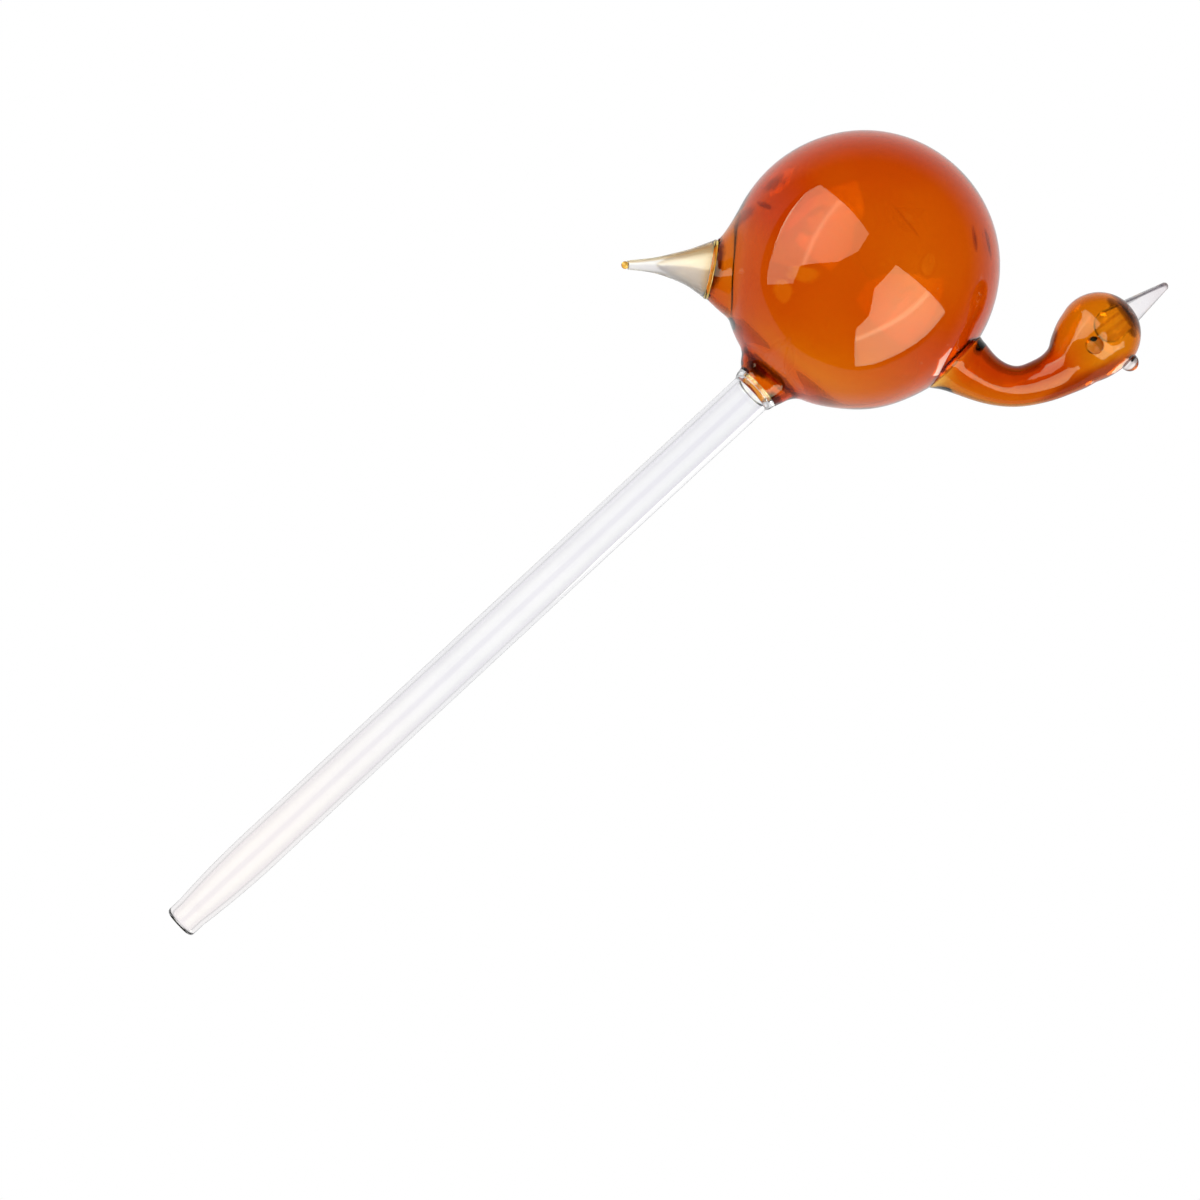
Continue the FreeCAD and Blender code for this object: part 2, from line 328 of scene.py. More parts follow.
class Bench:
    """Adds and links nodes in one tree."""

    def __init__(self, tree: bpy.types.NodeTree) -> None:
        """Takes the tree to work in."""
        self.tree = tree

    def feed(self, entry: Socket, value: object) -> None:
        """Links a socket to an input, or sets the input's value.

        Args:
            entry: the input.
            value: a socket, a value, or None to leave the input alone.
        """
        if isinstance(value, Socket):
            self.tree.links.new(value, entry)
        elif value is not None:
            entry.default_value = value

    def add(self, kind: str, feeds: dict | None = None, **settings: object) -> bpy.types.Node:
        """Adds a node.

        Args:
            kind: its type.
            feeds: sockets and values for its inputs, by their name or number.
            settings: its properties.

        Returns:
            The node.
        """
        node = self.tree.nodes.new(kind)
        for name, value in settings.items():
            setattr(node, name, value)
        for label, value in (feeds or {}).items():
            self.feed(node.inputs[label], value)
        return node

    def maths(self, operation: str, first: object, second: object = None, clamp: bool = False) -> Socket:
        """A Math node's output."""
        return self.add("ShaderNodeMath", {0: first, 1: second}, operation=operation, use_clamp=clamp).outputs[0]

    def vector(self, operation: str, first: object, second: object = None) -> Socket:
        """A Vector Math node's output, a number for those operations that give one."""
        node = self.add("ShaderNodeVectorMath", {0: first, 1: second}, operation=operation)
        return node.outputs["Value" if operation in {"LENGTH", "DISTANCE", "DOT_PRODUCT"} else "Vector"]

    def joined(self, *parts: object) -> Socket:
        """A Combine XYZ node's vector."""
        return self.add("ShaderNodeCombineXYZ", dict(enumerate(parts))).outputs[0]

    def parts(self, vector: Socket) -> bpy.types.NodeOutputs:
        """A Separate XYZ node's outputs."""
        return self.add("ShaderNodeSeparateXYZ", {0: vector}).outputs

    def noise(self, place: object, scale: object, detail: float, distortion: float = 0.0) -> Socket:
        """A Noise Texture's value."""
        feeds = {"Vector": place, "Scale": scale, "Detail": detail, "Distortion": distortion}
        return self.add("ShaderNodeTexNoise", feeds).outputs[0]

    def spread(self, value: object, low: object, high: object, to_low: float = 0.0,
               to_high: float = 1.0) -> Socket:
        """A smooth Map Range node's output."""
        feeds = dict(enumerate((value, low, high, to_low, to_high)))
        return self.add("ShaderNodeMapRange", feeds, interpolation_type="SMOOTHSTEP").outputs[0]

    def blend(self, share: object, first: object, second: object) -> Socket:
        """A Mix node's colour."""
        return self.add("ShaderNodeMix", {0: share, 6: first, 7: second}, data_type="RGBA").outputs[2]

    def object_place(self) -> Socket:
        """The Object coordinates."""
        return self.add("ShaderNodeTexCoord").outputs["Object"]


def open_sockets(tree: bpy.types.NodeTree, inputs: dict, outputs: dict) -> dict:
    """Gives a group its sockets.

    Args:
        tree: the group.
        inputs: socket types by name.
        outputs: socket types by name.

    Returns:
        The identifier of each input by its name.
    """
    made = {}
    for side, sockets in (("OUTPUT", outputs), ("INPUT", inputs)):
        made = {label: tree.interface.new_socket(label, in_out=side, socket_type="NodeSocket" + kind)
                for label, kind in sockets.items()}
    return {label: socket.identifier for label, socket in made.items()}


class TurnedGlass:
    """The Geometry Nodes tree that lays rings round a row of centres and skins them.

    A piece's own points are the rings' centres, and each carries its ring's radius and heading.
    """

    RADIUS = "ring_radius"
    HEADING = "ring_heading"
    INPUTS = {"Centres": "Geometry", "Facets": "Int", "Turn": "Vector", "Seat": "Vector", "Glass": "Material"}

    def __init__(self) -> None:
        """Builds the tree, once for all pieces."""
        self.tree = bpy.data.node_groups.new("turned_glass", "GeometryNodeTree")
        self.keys = open_sockets(self.tree, self.INPUTS, {"Skin": "Geometry"})
        self.bench = Bench(self.tree)
        self._wire()

    def _at(self, centres: Socket, value: Socket, row: Socket, kind: str) -> Socket:
        """A value of a data type, read from the centre of a row."""
        feeds = {"Geometry": centres, "Value": value, "Index": row}
        return self.bench.add("GeometryNodeSampleIndex", feeds, data_type=kind, domain="POINT").outputs["Value"]

    def _carried(self, centres: Socket, name: str, row: Socket) -> Socket:
        """An attribute of the centre of a row."""
        node = self.bench.add("GeometryNodeInputNamedAttribute", {"Name": name}, data_type="FLOAT")
        return self._at(centres, node.outputs["Attribute"], row, "FLOAT")

    def _wire(self) -> None:
        """Places and links the nodes."""
        add, maths = self.bench.add, self.bench.maths
        entry = add("NodeGroupInput").outputs
        centres, facets = entry["Centres"], entry["Facets"]
        rows = add("GeometryNodeAttributeDomainSize", {0: centres}).outputs["Point Count"]
        columns = maths("ADD", facets, 1.0)
        grid = add("GeometryNodeMeshGrid", {"Vertices X": rows, "Vertices Y": columns})
        index = add("GeometryNodeInputIndex").outputs[0]
        row = maths("FLOOR", maths("DIVIDE", index, columns))
        column = maths("SUBTRACT", index, maths("MULTIPLY", row, columns))
        angle = maths("MULTIPLY", maths("DIVIDE", column, facets), 2.0 * math.pi)
        centre = self._at(centres, add("GeometryNodeInputPosition").outputs[0], row, "FLOAT_VECTOR")
        radius = self._carried(centres, self.RADIUS, row)
        heading = self._carried(centres, self.HEADING, row)
        lift = maths("MULTIPLY", radius, maths("COSINE", angle))
        offset = self.bench.joined(
            maths("MULTIPLY", lift, maths("MULTIPLY", maths("SINE", heading), -1.0)),
            maths("MULTIPLY", radius, maths("SINE", angle)),
            maths("MULTIPLY", lift, maths("COSINE", heading)),
        )
        spot = self.bench.vector("ADD", centre, offset)
        step = add("GeometryNodeSetPosition", {"Geometry": grid.outputs["Mesh"], "Position": spot})
        step = add("GeometryNodeMergeByDistance", {"Geometry": step.outputs[0], "Distance": WELD_DISTANCE})
        step = add("GeometryNodeTransform", {"Geometry": step.outputs[0], "Translation": entry["Seat"],
                                             "Rotation": entry["Turn"]})
        step = add("GeometryNodeRealizeInstances", {0: step.outputs[0]})
        step = add("GeometryNodeSetMaterial", {"Geometry": step.outputs[0], "Material": entry["Glass"]})
        add("NodeGroupOutput", {0: step.outputs[0]})

    def skin(self, name: str, rings: list, glass: Material, facets: int, axis: Array | None = None,
             seat: Array | None = None) -> Piece:
        """Makes one piece.

        Args:
            name: the piece's name.
            rings: a (centre, heading, radius) for each ring, in millimetres and degrees.
            glass: the piece's material.
            facets: how many faces go round.
            axis: where the rings' +Z goes, for rings laid about +Z.
            seat: where their origin goes, in millimetres.

        Returns:
            The piece, as a plain mesh.
        """
        centres, headings, radii = zip(*rings)
        mesh = bpy.data.meshes.new(name + "_centres")
        mesh.from_pydata((np.array(centres) * MM).tolist(), [], [])
        for label, values in ((self.RADIUS, np.array(radii) * MM), (self.HEADING, np.radians(headings))):
            mesh.attributes.new(label, "FLOAT", "POINT").data.foreach_set("value", values)
        holder = linked(name + "_centres", mesh)
        modifier = holder.modifiers.new("turned_glass", "NODES")
        modifier.node_group = self.tree
        modifier[self.keys["Facets"]] = facets
        modifier[self.keys["Glass"]] = glass
        if axis is not None:
            modifier[self.keys["Turn"]] = tuple(Vector(axis).to_track_quat("Z", "Y").to_euler())
            modifier[self.keys["Seat"]] = tuple(seat * MM)
        bpy.context.view_layer.update()
        made = holder.evaluated_get(bpy.context.evaluated_depsgraph_get())
        plain = bpy.data.meshes.new_from_object(made)
        bpy.data.objects.remove(holder)
        return finished(name, plain, glass)

    def turned(self, name: str, profile: Array, glass: Material, facets: int, axis: Array | None = None,
               seat: Array | None = None) -> Piece:
        """Makes one piece from a profile of (radius, height) points, turned about an axis from a seat."""
        rings = [((0.0, 0.0, height), UP, radius) for radius, height in profile.tolist()]
        return self.skin(name, rings, glass, facets, axis, seat)


def opaque(colour: tuple) -> tuple:
    """A colour with its alpha."""
    return (*colour, 1.0)


def metres(place: tuple) -> tuple:
    """A place in millimetres turned to metres."""
    return tuple(value * MM for value in place)


def blank_material(name: str) -> tuple:
    """Starts a material with an empty tree.

    Args:
        name: its name.

    Returns:
        The material and the bench for its tree.
    """
    material = bpy.data.materials.new(name)
    material.use_nodes = True
    material.node_tree.nodes.clear()
    return material, Bench(material.node_tree)


class GlassGroups:
    """The node groups that the glasses share."""

    DRIFT = (0.35, 0.7)
    CORDS = (0.55, 0.8, 0.0, 0.45)
    CORD_RELIEF = 0.08
    SMUDGE = (0.58, 0.78)
    SMUDGE_SCALE = 160.0
    SMUDGE_ROUGHNESS = 0.035
    RAGGED_SCALE = 220.0
    SEEDED = (0.6, 0.64)
    SEEDED_SCALE = 90.0

    def __init__(self) -> None:
        """Builds the groups, once for all materials."""
        self.body = self._body()
        self.patch = self._patch()
        self.seeds = self._seeds()

    def _new(self, name: str, inputs: dict, outputs: dict) -> tuple:
        """Starts a group.

        Args:
            name: its name.
            inputs: socket types by name.
            outputs: socket types by name.

        Returns:
            Its bench, its inputs, and the inputs of its output node.
        """
        group = bpy.data.node_groups.new(name, "ShaderNodeTree")
        open_sockets(group, inputs, outputs)
        bench = Bench(group)
        return bench, bench.add("NodeGroupInput").outputs, bench.add("NodeGroupOutput").inputs

    def _body(self) -> bpy.types.NodeTree:
        """Melted glass: drifting tint, cords drawn along the work, a wandering surface and handling marks.

        Returns:
            The group.
        """
        bench, entry, leave = self._new(
            "melted_glass",
            {"Place": "Vector", "Cord Place": "Vector", "Tint": "Color", "Deep Tint": "Color",
             "Stretch": "Vector", "Drift Scale": "Float", "Wander Scale": "Float", "Polish": "Float"},
            {"Tint": "Color", "Roughness": "Float", "Height": "Float"},
        )
        place = entry["Place"]
        drift = bench.spread(bench.noise(place, entry["Drift Scale"], 1.5, 0.4), *self.DRIFT)
        cords = bench.noise(bench.vector("MULTIPLY", entry["Cord Place"], entry["Stretch"]), 1.0, 3.0, 0.6)
        mask = bench.maths("ADD", drift, bench.spread(cords, *self.CORDS), clamp=True)
        bench.feed(leave["Tint"], bench.blend(mask, entry["Tint"], entry["Deep Tint"]))
        relief = bench.maths("MULTIPLY", cords, self.CORD_RELIEF)
        bench.feed(leave["Height"], bench.maths("ADD", bench.noise(place, entry["Wander Scale"], 1.0), relief))
        smudge = bench.spread(bench.noise(place, self.SMUDGE_SCALE, 4.0, 1.2), *self.SMUDGE)
        dull = bench.maths("MULTIPLY", smudge, self.SMUDGE_ROUGHNESS)
        bench.feed(leave["Roughness"], bench.maths("ADD", entry["Polish"], dull))
        return bench.tree

    def _patch(self) -> bpy.types.NodeTree:
        """A soft-edged patch round a point, a rod or a slab where weights are 0.

        Returns:
            The group.
        """
        bench, entry, leave = self._new(
            "glass_patch",
            {"Place": "Vector", "Middle": "Vector", "Weights": "Vector", "Turn": "Float", "Reach": "Float",
             "Softness": "Float", "Raggedness": "Float"},
            {"Mask": "Float"},
        )
        feeds = {"Vector": bench.vector("SUBTRACT", entry["Place"], entry["Middle"]), "Angle": entry["Turn"]}
        turned = bench.add("ShaderNodeVectorRotate", feeds, rotation_type="Y_AXIS")
        away = bench.vector("LENGTH", bench.vector("MULTIPLY", turned.outputs[0], entry["Weights"]))
        ragged = bench.maths("SUBTRACT", bench.noise(entry["Place"], self.RAGGED_SCALE, 3.0, 0.8), 0.5)
        away = bench.maths("ADD", away, bench.maths("MULTIPLY", ragged, entry["Raggedness"]))
        far = bench.maths("ADD", entry["Reach"], entry["Softness"])
        bench.feed(leave["Mask"], bench.spread(away, entry["Reach"], far, 1.0, 0.0))
        return bench.tree

    def _seeds(self) -> bpy.types.NodeTree:
        """Seeds: the small bubbles that hand-worked glass keeps.

        Returns:
            The group.
        """
        bench, entry, leave = self._new(
            "glass_seeds", {"Place": "Vector", "Scale": "Float", "Size": "Float"}, {"Mask": "Float"}
        )
        place, size = entry["Place"], entry["Size"]
        cells = bench.add("ShaderNodeTexVoronoi", {"Vector": place, "Scale": entry["Scale"]}, feature="F1")
        picked = bench.spread(bench.noise(place, self.SEEDED_SCALE, 0.0), *self.SEEDED)
        dot = bench.spread(cells.outputs["Distance"], bench.maths("MULTIPLY", size, 0.5), size, 1.0, 0.0)
        bench.feed(leave["Mask"], bench.maths("MULTIPLY", dot, picked))
        return bench.tree


@dataclass(frozen=True)
class Patch:
    """A part of a piece where another colour is laid over its glass: in some places a tint of the glass, in
    others a painted highlight or painted shade.

    Its weights scale the distance from its middle along its own turned axes.
    """

    middle: tuple
    reach: float
    softness: float
    colour: tuple
    strength: float = 1.0
    raggedness: float = 2.0
    weights: tuple = (1.0, 1.0, 1.0)
    turn: float = 0.0
    outside: bool = False

    def over(self, bench: Bench, groups: GlassGroups, place: Socket, colour: Socket) -> Socket:
        """Lays the patch over a colour.

        Args:
            bench: the material's bench.
            groups: the shared node groups.
            place: the Object coordinates.
            colour: the colour so far.

        Returns:
            The new colour.
        """
        mask = bench.add("ShaderNodeGroup", {
            "Place": place, "Middle": metres(self.middle), "Weights": self.weights,
            "Turn": math.radians(self.turn), "Reach": self.reach * MM, "Softness": self.softness * MM,
            "Raggedness": self.raggedness * MM,
        }, node_tree=groups.patch).outputs["Mask"]
        if self.outside:
            mask = bench.maths("SUBTRACT", 1.0, mask)
        return bench.blend(bench.maths("MULTIPLY", mask, self.strength), colour, opaque(self.colour))


@dataclass(frozen=True)
class GlassFinish:
    """One glass: its tints are what white light keeps at each surface it crosses; its edge colour is painted
    shade at the rims, and some of its patches are painted highlights and painted shade.
    """

    name: str
    tint: tuple
    deep_tint: tuple
    # The edge colour, with its start, end and strength, sets the painted shade along the rims.
    edge: tuple = (1.0, 1.0, 1.0)
    rim_shade_start: float = 0.55
    rim_shade_end: float = 0.95
    rim_shade_strength: float = 0.6
    smoke: tuple = (1.0, 1.0, 1.0)
    smoke_density: float = 0.0
    refraction: float = 1.5
    stretch: tuple = (300.0, 300.0, 300.0)
    drift_scale: float = 60.0
    wander_scale: float = 70.0
    polish: float = 0.0
    waviness: Waviness = Waviness.LAMPWORKED
    seeds: float = 0.0
    seed_size: float = 0.09
    seed_relief: float = 0.25
    coat: float = 0.0
    bend: tuple | None = None
    arc_scale: float = 0.02
    patches: tuple = ()

    def _cord_place(self, bench: Bench, place: Socket) -> Socket:
        """Where the cords are read: along the piece, or round the axis of its bend.

        Args:
            bench: the material's bench.
            place: the Object coordinates.

        Returns:
            The place, for a bend as distance from its axis, depth and arc.
        """
        if self.bend is None:
            return place
        x, y, z = bench.parts(bench.vector("SUBTRACT", place, metres(self.bend)))
        away = bench.vector("LENGTH", bench.joined(x, None, z))
        return bench.joined(away, y, bench.maths("MULTIPLY", bench.maths("ARCTAN2", x, z), self.arc_scale))

    def melted(self, bench: Bench, groups: GlassGroups, place: Socket) -> bpy.types.NodeOutputs:
        """Adds the group of melted glass.

        Args:
            bench: the material's bench.
            groups: the shared node groups.
            place: the Object coordinates.

        Returns:
            The group's outputs.
        """
        return bench.add("ShaderNodeGroup", {
            "Place": place, "Cord Place": self._cord_place(bench, place), "Tint": opaque(self.tint),
            "Deep Tint": opaque(self.deep_tint), "Stretch": self.stretch, "Drift Scale": self.drift_scale,
            "Wander Scale": self.wander_scale, "Polish": self.polish,
        }, node_tree=groups.body).outputs

    def surface(self, bench: Bench, body: bpy.types.NodeOutputs, height: Socket, colour: Socket) -> dict:
        """What every glass feeds its Principled shader, clear or black.

        Args:
            bench: the material's bench.
            body: the melted glass.
            height: the relief.
            colour: the colour.

        Returns:
            The inputs by name.
        """
        bump = bench.add("ShaderNodeBump", {"Strength": 1.0, "Distance": self.waviness.value, "Height": height})
        return {"Metallic": 0.0, "IOR": self.refraction, "Base Color": colour, "Roughness": body["Roughness"],
                "Normal": bump.outputs[0]}

    def make(self, groups: GlassGroups) -> Material:
        """Builds the material.

        Args:
            groups: the shared node groups.

        Returns:
            The material.
        """
        material, bench = blank_material(self.name)
        place = bench.object_place()
        body = self.melted(bench, groups, place)
        colour, height = body["Tint"], body["Height"]
        for patch in self.patches:
            colour = patch.over(bench, groups, place, colour)
        if self.seeds:
            feeds = {"Place": place, "Scale": self.seeds, "Size": self.seed_size}
            mask = bench.add("ShaderNodeGroup", feeds, node_tree=groups.seeds).outputs["Mask"]
            height = bench.maths("ADD", height, bench.maths("MULTIPLY", mask, self.seed_relief))
        # Painted shade at the rims: where the surface is seen edge-on, its colour turns towards the edge colour.
        facing = bench.add("ShaderNodeLayerWeight", {"Blend": 0.5}).outputs["Facing"]
        rim = bench.spread(facing, self.rim_shade_start, self.rim_shade_end, 0.0, self.rim_shade_strength)
        feeds = self.surface(bench, body, height, bench.blend(rim, colour, opaque(self.edge)))
        glass = bench.add("ShaderNodeBsdfPrincipled",
                          {**feeds, "Transmission Weight": 1.0, "Coat Weight": self.coat})
        leave = bench.add("ShaderNodeOutputMaterial", {"Surface": glass.outputs[0]})
        if self.smoke_density:
            feeds = {"Color": opaque(self.smoke), "Density": self.smoke_density}
            bench.feed(leave.inputs["Volume"], bench.add("ShaderNodeVolumeAbsorption", feeds).outputs[0])
        return material


@dataclass(frozen=True)
class DotFinish(GlassFinish):
    """The black glass of the eyes' dots, a little uneven in its shine."""

    name: str = "pupil_black"
    tint: tuple = (0.004, 0.004, 0.005)
    deep_tint: tuple = (0.02, 0.012, 0.008)
    stretch: tuple = (900.0, 900.0, 900.0)
    drift_scale: float = 1200.0
    wander_scale: float = 900.0
    polish: float = 0.12
    waviness: Waviness = Waviness.DOTTED

    def make(self, groups: GlassGroups) -> Material:
        """Builds the material.

        Args:
            groups: the shared node groups.

        Returns:
            The material.
        """
        material, bench = blank_material(self.name)
        body = self.melted(bench, groups, bench.object_place())
        dot = bench.add("ShaderNodeBsdfPrincipled", self.surface(bench, body, body["Height"], body["Tint"]))
        bench.add("ShaderNodeOutputMaterial", {"Surface": dot.outputs[0]})
        return material


# The bird's pieces, in millimetres and degrees


@dataclass(frozen=True)
class Layout:
    """Where the pieces meet and the sizes that several of them share, the same as the solids'."""

    stem_length: float = 196.2
    weld_height: float = 2.4
    collar_radius: float = 6.25
    spigot_length: float = 0.8
    globe_radius: float = 34.5
    globe_lean: float = 5.85
    collar_height: float = 5.6
    root_pitch: float = 5.0
    root_depth: float = 0.85
    bend_radius: float = 18.6
    start_turn: float = -3.0
    end_turn: float = 93.0
    head_stand_off: float = 10.5
    head_radius: float = 10.5
    beak_lean: float = 6.8
    beak_root_height: float = 3.75
    beak_root_radius: float = 4.4
    tail_pitch: float = 47.9
    stub_length: float = 3.2
    ring_heading: float = 37.0
    ring_radius: float = 7.55

    @property
    def mouth(self) -> Array:
        """The middle of the collar's mouth."""
        return np.array([0.0, 0.0, self.stem_length + self.weld_height])

    @property
    def globe_centre(self) -> Array:
        """The globe's centre."""
        return polar(self.mouth, UP + self.globe_lean, self.globe_radius + self.collar_height)

    @property
    def bend_centre(self) -> Array:
        """The centre of the neck's bend."""
        root = polar(self.globe_centre, self.root_pitch, self.globe_radius - self.root_depth)
        return polar(root, self.start_turn + 90.0, self.bend_radius)

    @property
    def bend_end(self) -> Array:
        """Where the bend ends under the head."""
        return polar(self.bend_centre, self.end_turn - 90.0, self.bend_radius)

    @property
    def head_centre(self) -> Array:
        """The head's centre."""
        return polar(self.bend_end, self.end_turn, self.head_stand_off)

    @property
    def ring_centre(self) -> Array:
        """The middle of the tail ring's inner face."""
        return polar(self.globe_centre, BACK + self.tail_pitch, self.globe_radius + self.stub_length)

    @property
    def tailward(self) -> Array:
        """The way out through the tail ring."""
        return direction(BACK + self.ring_heading)


@dataclass
class Turnery:
    """A sub-assembly of turned pieces, with the tree that turns them."""

    layout: Layout
    works: TurnedGlass


@dataclass
class Stem(Turnery):
    """The clear tube with its fire-polished tip, and the clear ring that welds it to the collar."""

    radius: float = 5.5
    wall: float = 1.2
    tip_radius: float = 4.35
    tip_land: float = 4.5
    tip_taper: float = 23.5
    top_chamfer: float = 0.045
    weld_bulge: float = 0.25
    spigot_wall: float = 0.6
    rim_rows: int = 10
    taper_rows: int = 24
    barrel_rows: int = 60
    belly_rows: int = 14
    facets: int = 128

    def _taper(self, inset: float) -> Array:
        """The tapered run of the outline, from the land to the barrel.

        Args:
            inset: how far the face lies in.

        Returns:
            Points as radius and height.
        """
        heights = np.linspace(self.tip_land, self.tip_land + self.tip_taper, self.taper_rows)
        share = 1.0 - (heights - self.tip_land) / self.tip_taper
        return np.stack([self.radius - inset - (self.radius - self.tip_radius) * share ** 2, heights], axis=1)

    def tube(self, glass: Material) -> Piece:
        """Builds the tube.

        Args:
            glass: its material.

        Returns:
            The piece.
        """
        land, bore = self.tip_radius - self.wall, self.radius - self.wall
        rim = rounded((land, self.wall), (self.wall, self.wall), -90.0, 0.0, self.rim_rows)
        top = self.layout.stem_length - AIR_GAP
        barrel = np.linspace(self.tip_land + self.tip_taper, top, self.barrel_rows)
        outside = np.stack([np.full_like(barrel, self.radius), barrel], axis=1)
        edge = [[self.radius - self.top_chamfer, top], [bore + self.top_chamfer, top]]
        inside = outside[::-1] - [self.wall, 0.0]
        profile = np.concatenate([rim, self._taper(0.0)[:-1], outside, edge, inside,
                                  self._taper(self.wall)[::-1][1:], [[land, 0.0]]])
        piece = self.works.turned("stem_tube_drawn", profile, glass, self.facets)
        return placed(piece, "stem_glass", "stem_tube")

    def weld_ring(self, glass: Material) -> Piece:
        """Builds the ring between the tube and the collar.

        Args:
            glass: its material.

        Returns:
            The piece.
        """
        low, high = self.layout.stem_length, self.layout.mouth[2] - AIR_GAP
        step, bore = high - self.layout.spigot_length, self.radius - self.wall
        seat = bore + self.spigot_wall + AIR_GAP
        belly = bulged((self.radius, low), (self.layout.collar_radius, high), self.weld_bulge, self.belly_rows)
        profile = np.concatenate([[[bore, low]], belly, [[seat, high], [seat, step], [bore, step], [bore, low]]])
        piece = self.works.turned("stem_weld_ring_drawn", profile, glass, self.facets)
        return placed(piece, "clear_glass", "stem_weld_ring")


@dataclass
class Globe:
    """The blown globe with its collar, spigot, tail stub and neck port.

    The outline gives the distance from the centre over the radius by the angle from the collar's direction.
    The flare gives, by its depth over the stub's length, the stub's radius over the ring's and how far it has
    turned from the ring's heading to the tail's pitch. The rims are the distances, from the mouth's, the
    spigot's and the ring's middle, between which the open edges that a flat ring of glass joins are found.
    """

    layout: Layout
    wall: float = 1.2
    outline: tuple = (
        (210, 1.007), (195, 1.013), (180, 1.013), (165, 1.013), (150, 1.011), (135, 1.007), (120, 1.000),
        (105, 0.995), (90, 0.992), (75, 0.993), (60, 1.003), (45, 1.022), (30, 1.033),
    )
    bore_radius: float = 4.3
    spigot_radius: float = 4.9
    corner_radius: float = 9.0
    corner_height: float = 4.75
    shoulder_slope: float = 22.0
    corner_blend: float = 2.1
    lead_steps: tuple = (1.2, 0.6)
    overrun: float = 2.5
    foot_height: float = 2.6
    flare: tuple = ((0.0, 1.0, 0.0), (0.45, 1.19, 0.2), (0.9, 1.39, 0.45), (1.4, 1.6, 0.7), (2.1, 1.86, 1.0),
                    (4.2, 2.64, 1.0))
    flare_lead: float = -0.6
    flare_rows: int = 210
    flare_half_angle: float = 44.0
    flare_blend: float = 0.9
    inner_blend: float = 2.34
    port_half_angle: float = 10.4
    tilt_bunches: tuple = ((89.0, 12.0, 0.9), (137.0, 16.0, 0.4))
    spin_bunches: tuple = ((0.0, 24.0, 1.3),)
    rims: tuple = ((4.5, 7.0), (3.8, 5.2), (5.9, 9.0))
    rows: int = 160
    columns: int = 288

    def __post_init__(self) -> None:
        """Works out the turned outline of both faces once."""
        self.profiles = {face: self._profile(self._inset(face)) for face in Face}

    def _inset(self, face: Face) -> float:
        """How far a face lies in from the outside."""
        return self.wall if face is Face.INNER else 0.0

    def _profile(self, inset: float) -> tuple:
        """The distance from the centre by the angle from the collar's direction.

        Args:
            inset: how far the face lies in from the outside.

        Returns:
            Angles in degrees, rising, and distances.
        """
        base = -(self.layout.globe_radius + self.layout.collar_height)
        corner = np.array([self.corner_radius - inset, base + self.corner_height + inset])
        edge = np.array([self.bore_radius if inset else self.layout.collar_radius, base])
        shoulder, down = direction(self.shoulder_slope)[[0, 2]], units(edge - corner)
        start, end = corner + shoulder * self.corner_blend, corner + down * self.corner_blend
        share = np.linspace(0.0, 1.0, 24)[:, None]
        blend = (1 - share) ** 2 * start + 2 * share * (1 - share) * corner + share ** 2 * end
        run = end + (edge - end) * np.linspace(0.0, 1.0, 12)[1:, None]
        tail = edge + DOWN[[0, 2]] * np.linspace(0.0, self.overrun, 6)[1:, None]
        lead = [start + shoulder * step for step in self.lead_steps]
        points = np.concatenate([lead, blend, run, tail])
        places = np.stack([np.degrees(np.arctan2(points[:, 0], -points[:, 1])), np.hypot(*points.T)], axis=1)
        near = places[len(lead):]
        shape = [[angle, self.layout.globe_radius * share - inset] for angle, share in self.outline]
        marks = np.array(sorted([*shape, *places[:len(lead) + 1].tolist()]))
        angles = np.arange(marks[0, 0], 180.01, 0.1)
        nearest = near[np.argmin(near[:, 0])]
        cap = np.linspace(0.0, nearest[0] * 0.98, 8)
        cap_reach = nearest[1] * math.cos(math.radians(nearest[0])) / np.cos(np.radians(cap))
        every = np.concatenate([cap, near[:, 0], angles])
        reach = np.concatenate([cap_reach, near[:, 1], curve_through(marks, angles)[:, 0]])
        order = np.argsort(every)
        return every[order], reach[order]

    def reach(self, ways: Array, face: Face) -> Array:
        """How far a face lies from the globe's centre.

        Args:
            ways: unit vectors from the centre.
            face: the face wanted.

        Returns:
            A distance for each.
        """
        towards_collar = -direction(UP + self.layout.globe_lean)
        angles = np.degrees(np.arccos(np.clip(ways @ towards_collar, -1.0, 1.0)))
        body = np.interp(angles, *self.profiles[face])
        stub = self._stub_reach(ways, self._inset(face))
        blend = self.flare_blend if face is Face.OUTER else self.inner_blend
        near = np.clip(blend - np.abs(body - stub), 0.0, None) / blend
        return np.maximum(body, stub) + near ** 2 * blend / 4.0

    def _flare_circles(self, inset: float) -> tuple:
        """The circles of the stub's flare, from deep in the globe to past the ring.

        Args:
            inset: how far the face lies in.

        Returns:
            Their centres, normals and radii.
        """
        flare = np.array(self.flare)
        depth = np.linspace(flare[-1, 0], self.flare_lead, self.flare_rows)
        inward, outward = np.clip(depth, 0.0, None), np.clip(-depth, 0.0, None)
        swell, turn = curve_through(flare, inward).T
        heading = self.layout.ring_heading + (self.layout.tail_pitch - self.layout.ring_heading) * turn
        length = self.layout.stub_length
        centres = (self.layout.ring_centre + inward[:, None] * length * direction(self.layout.tail_pitch)
                   + outward[:, None] * length * self.layout.tailward)
        normals = np.stack([direction(BACK + angle) for angle in heading])
        return centres, normals, self.layout.ring_radius * swell - inset

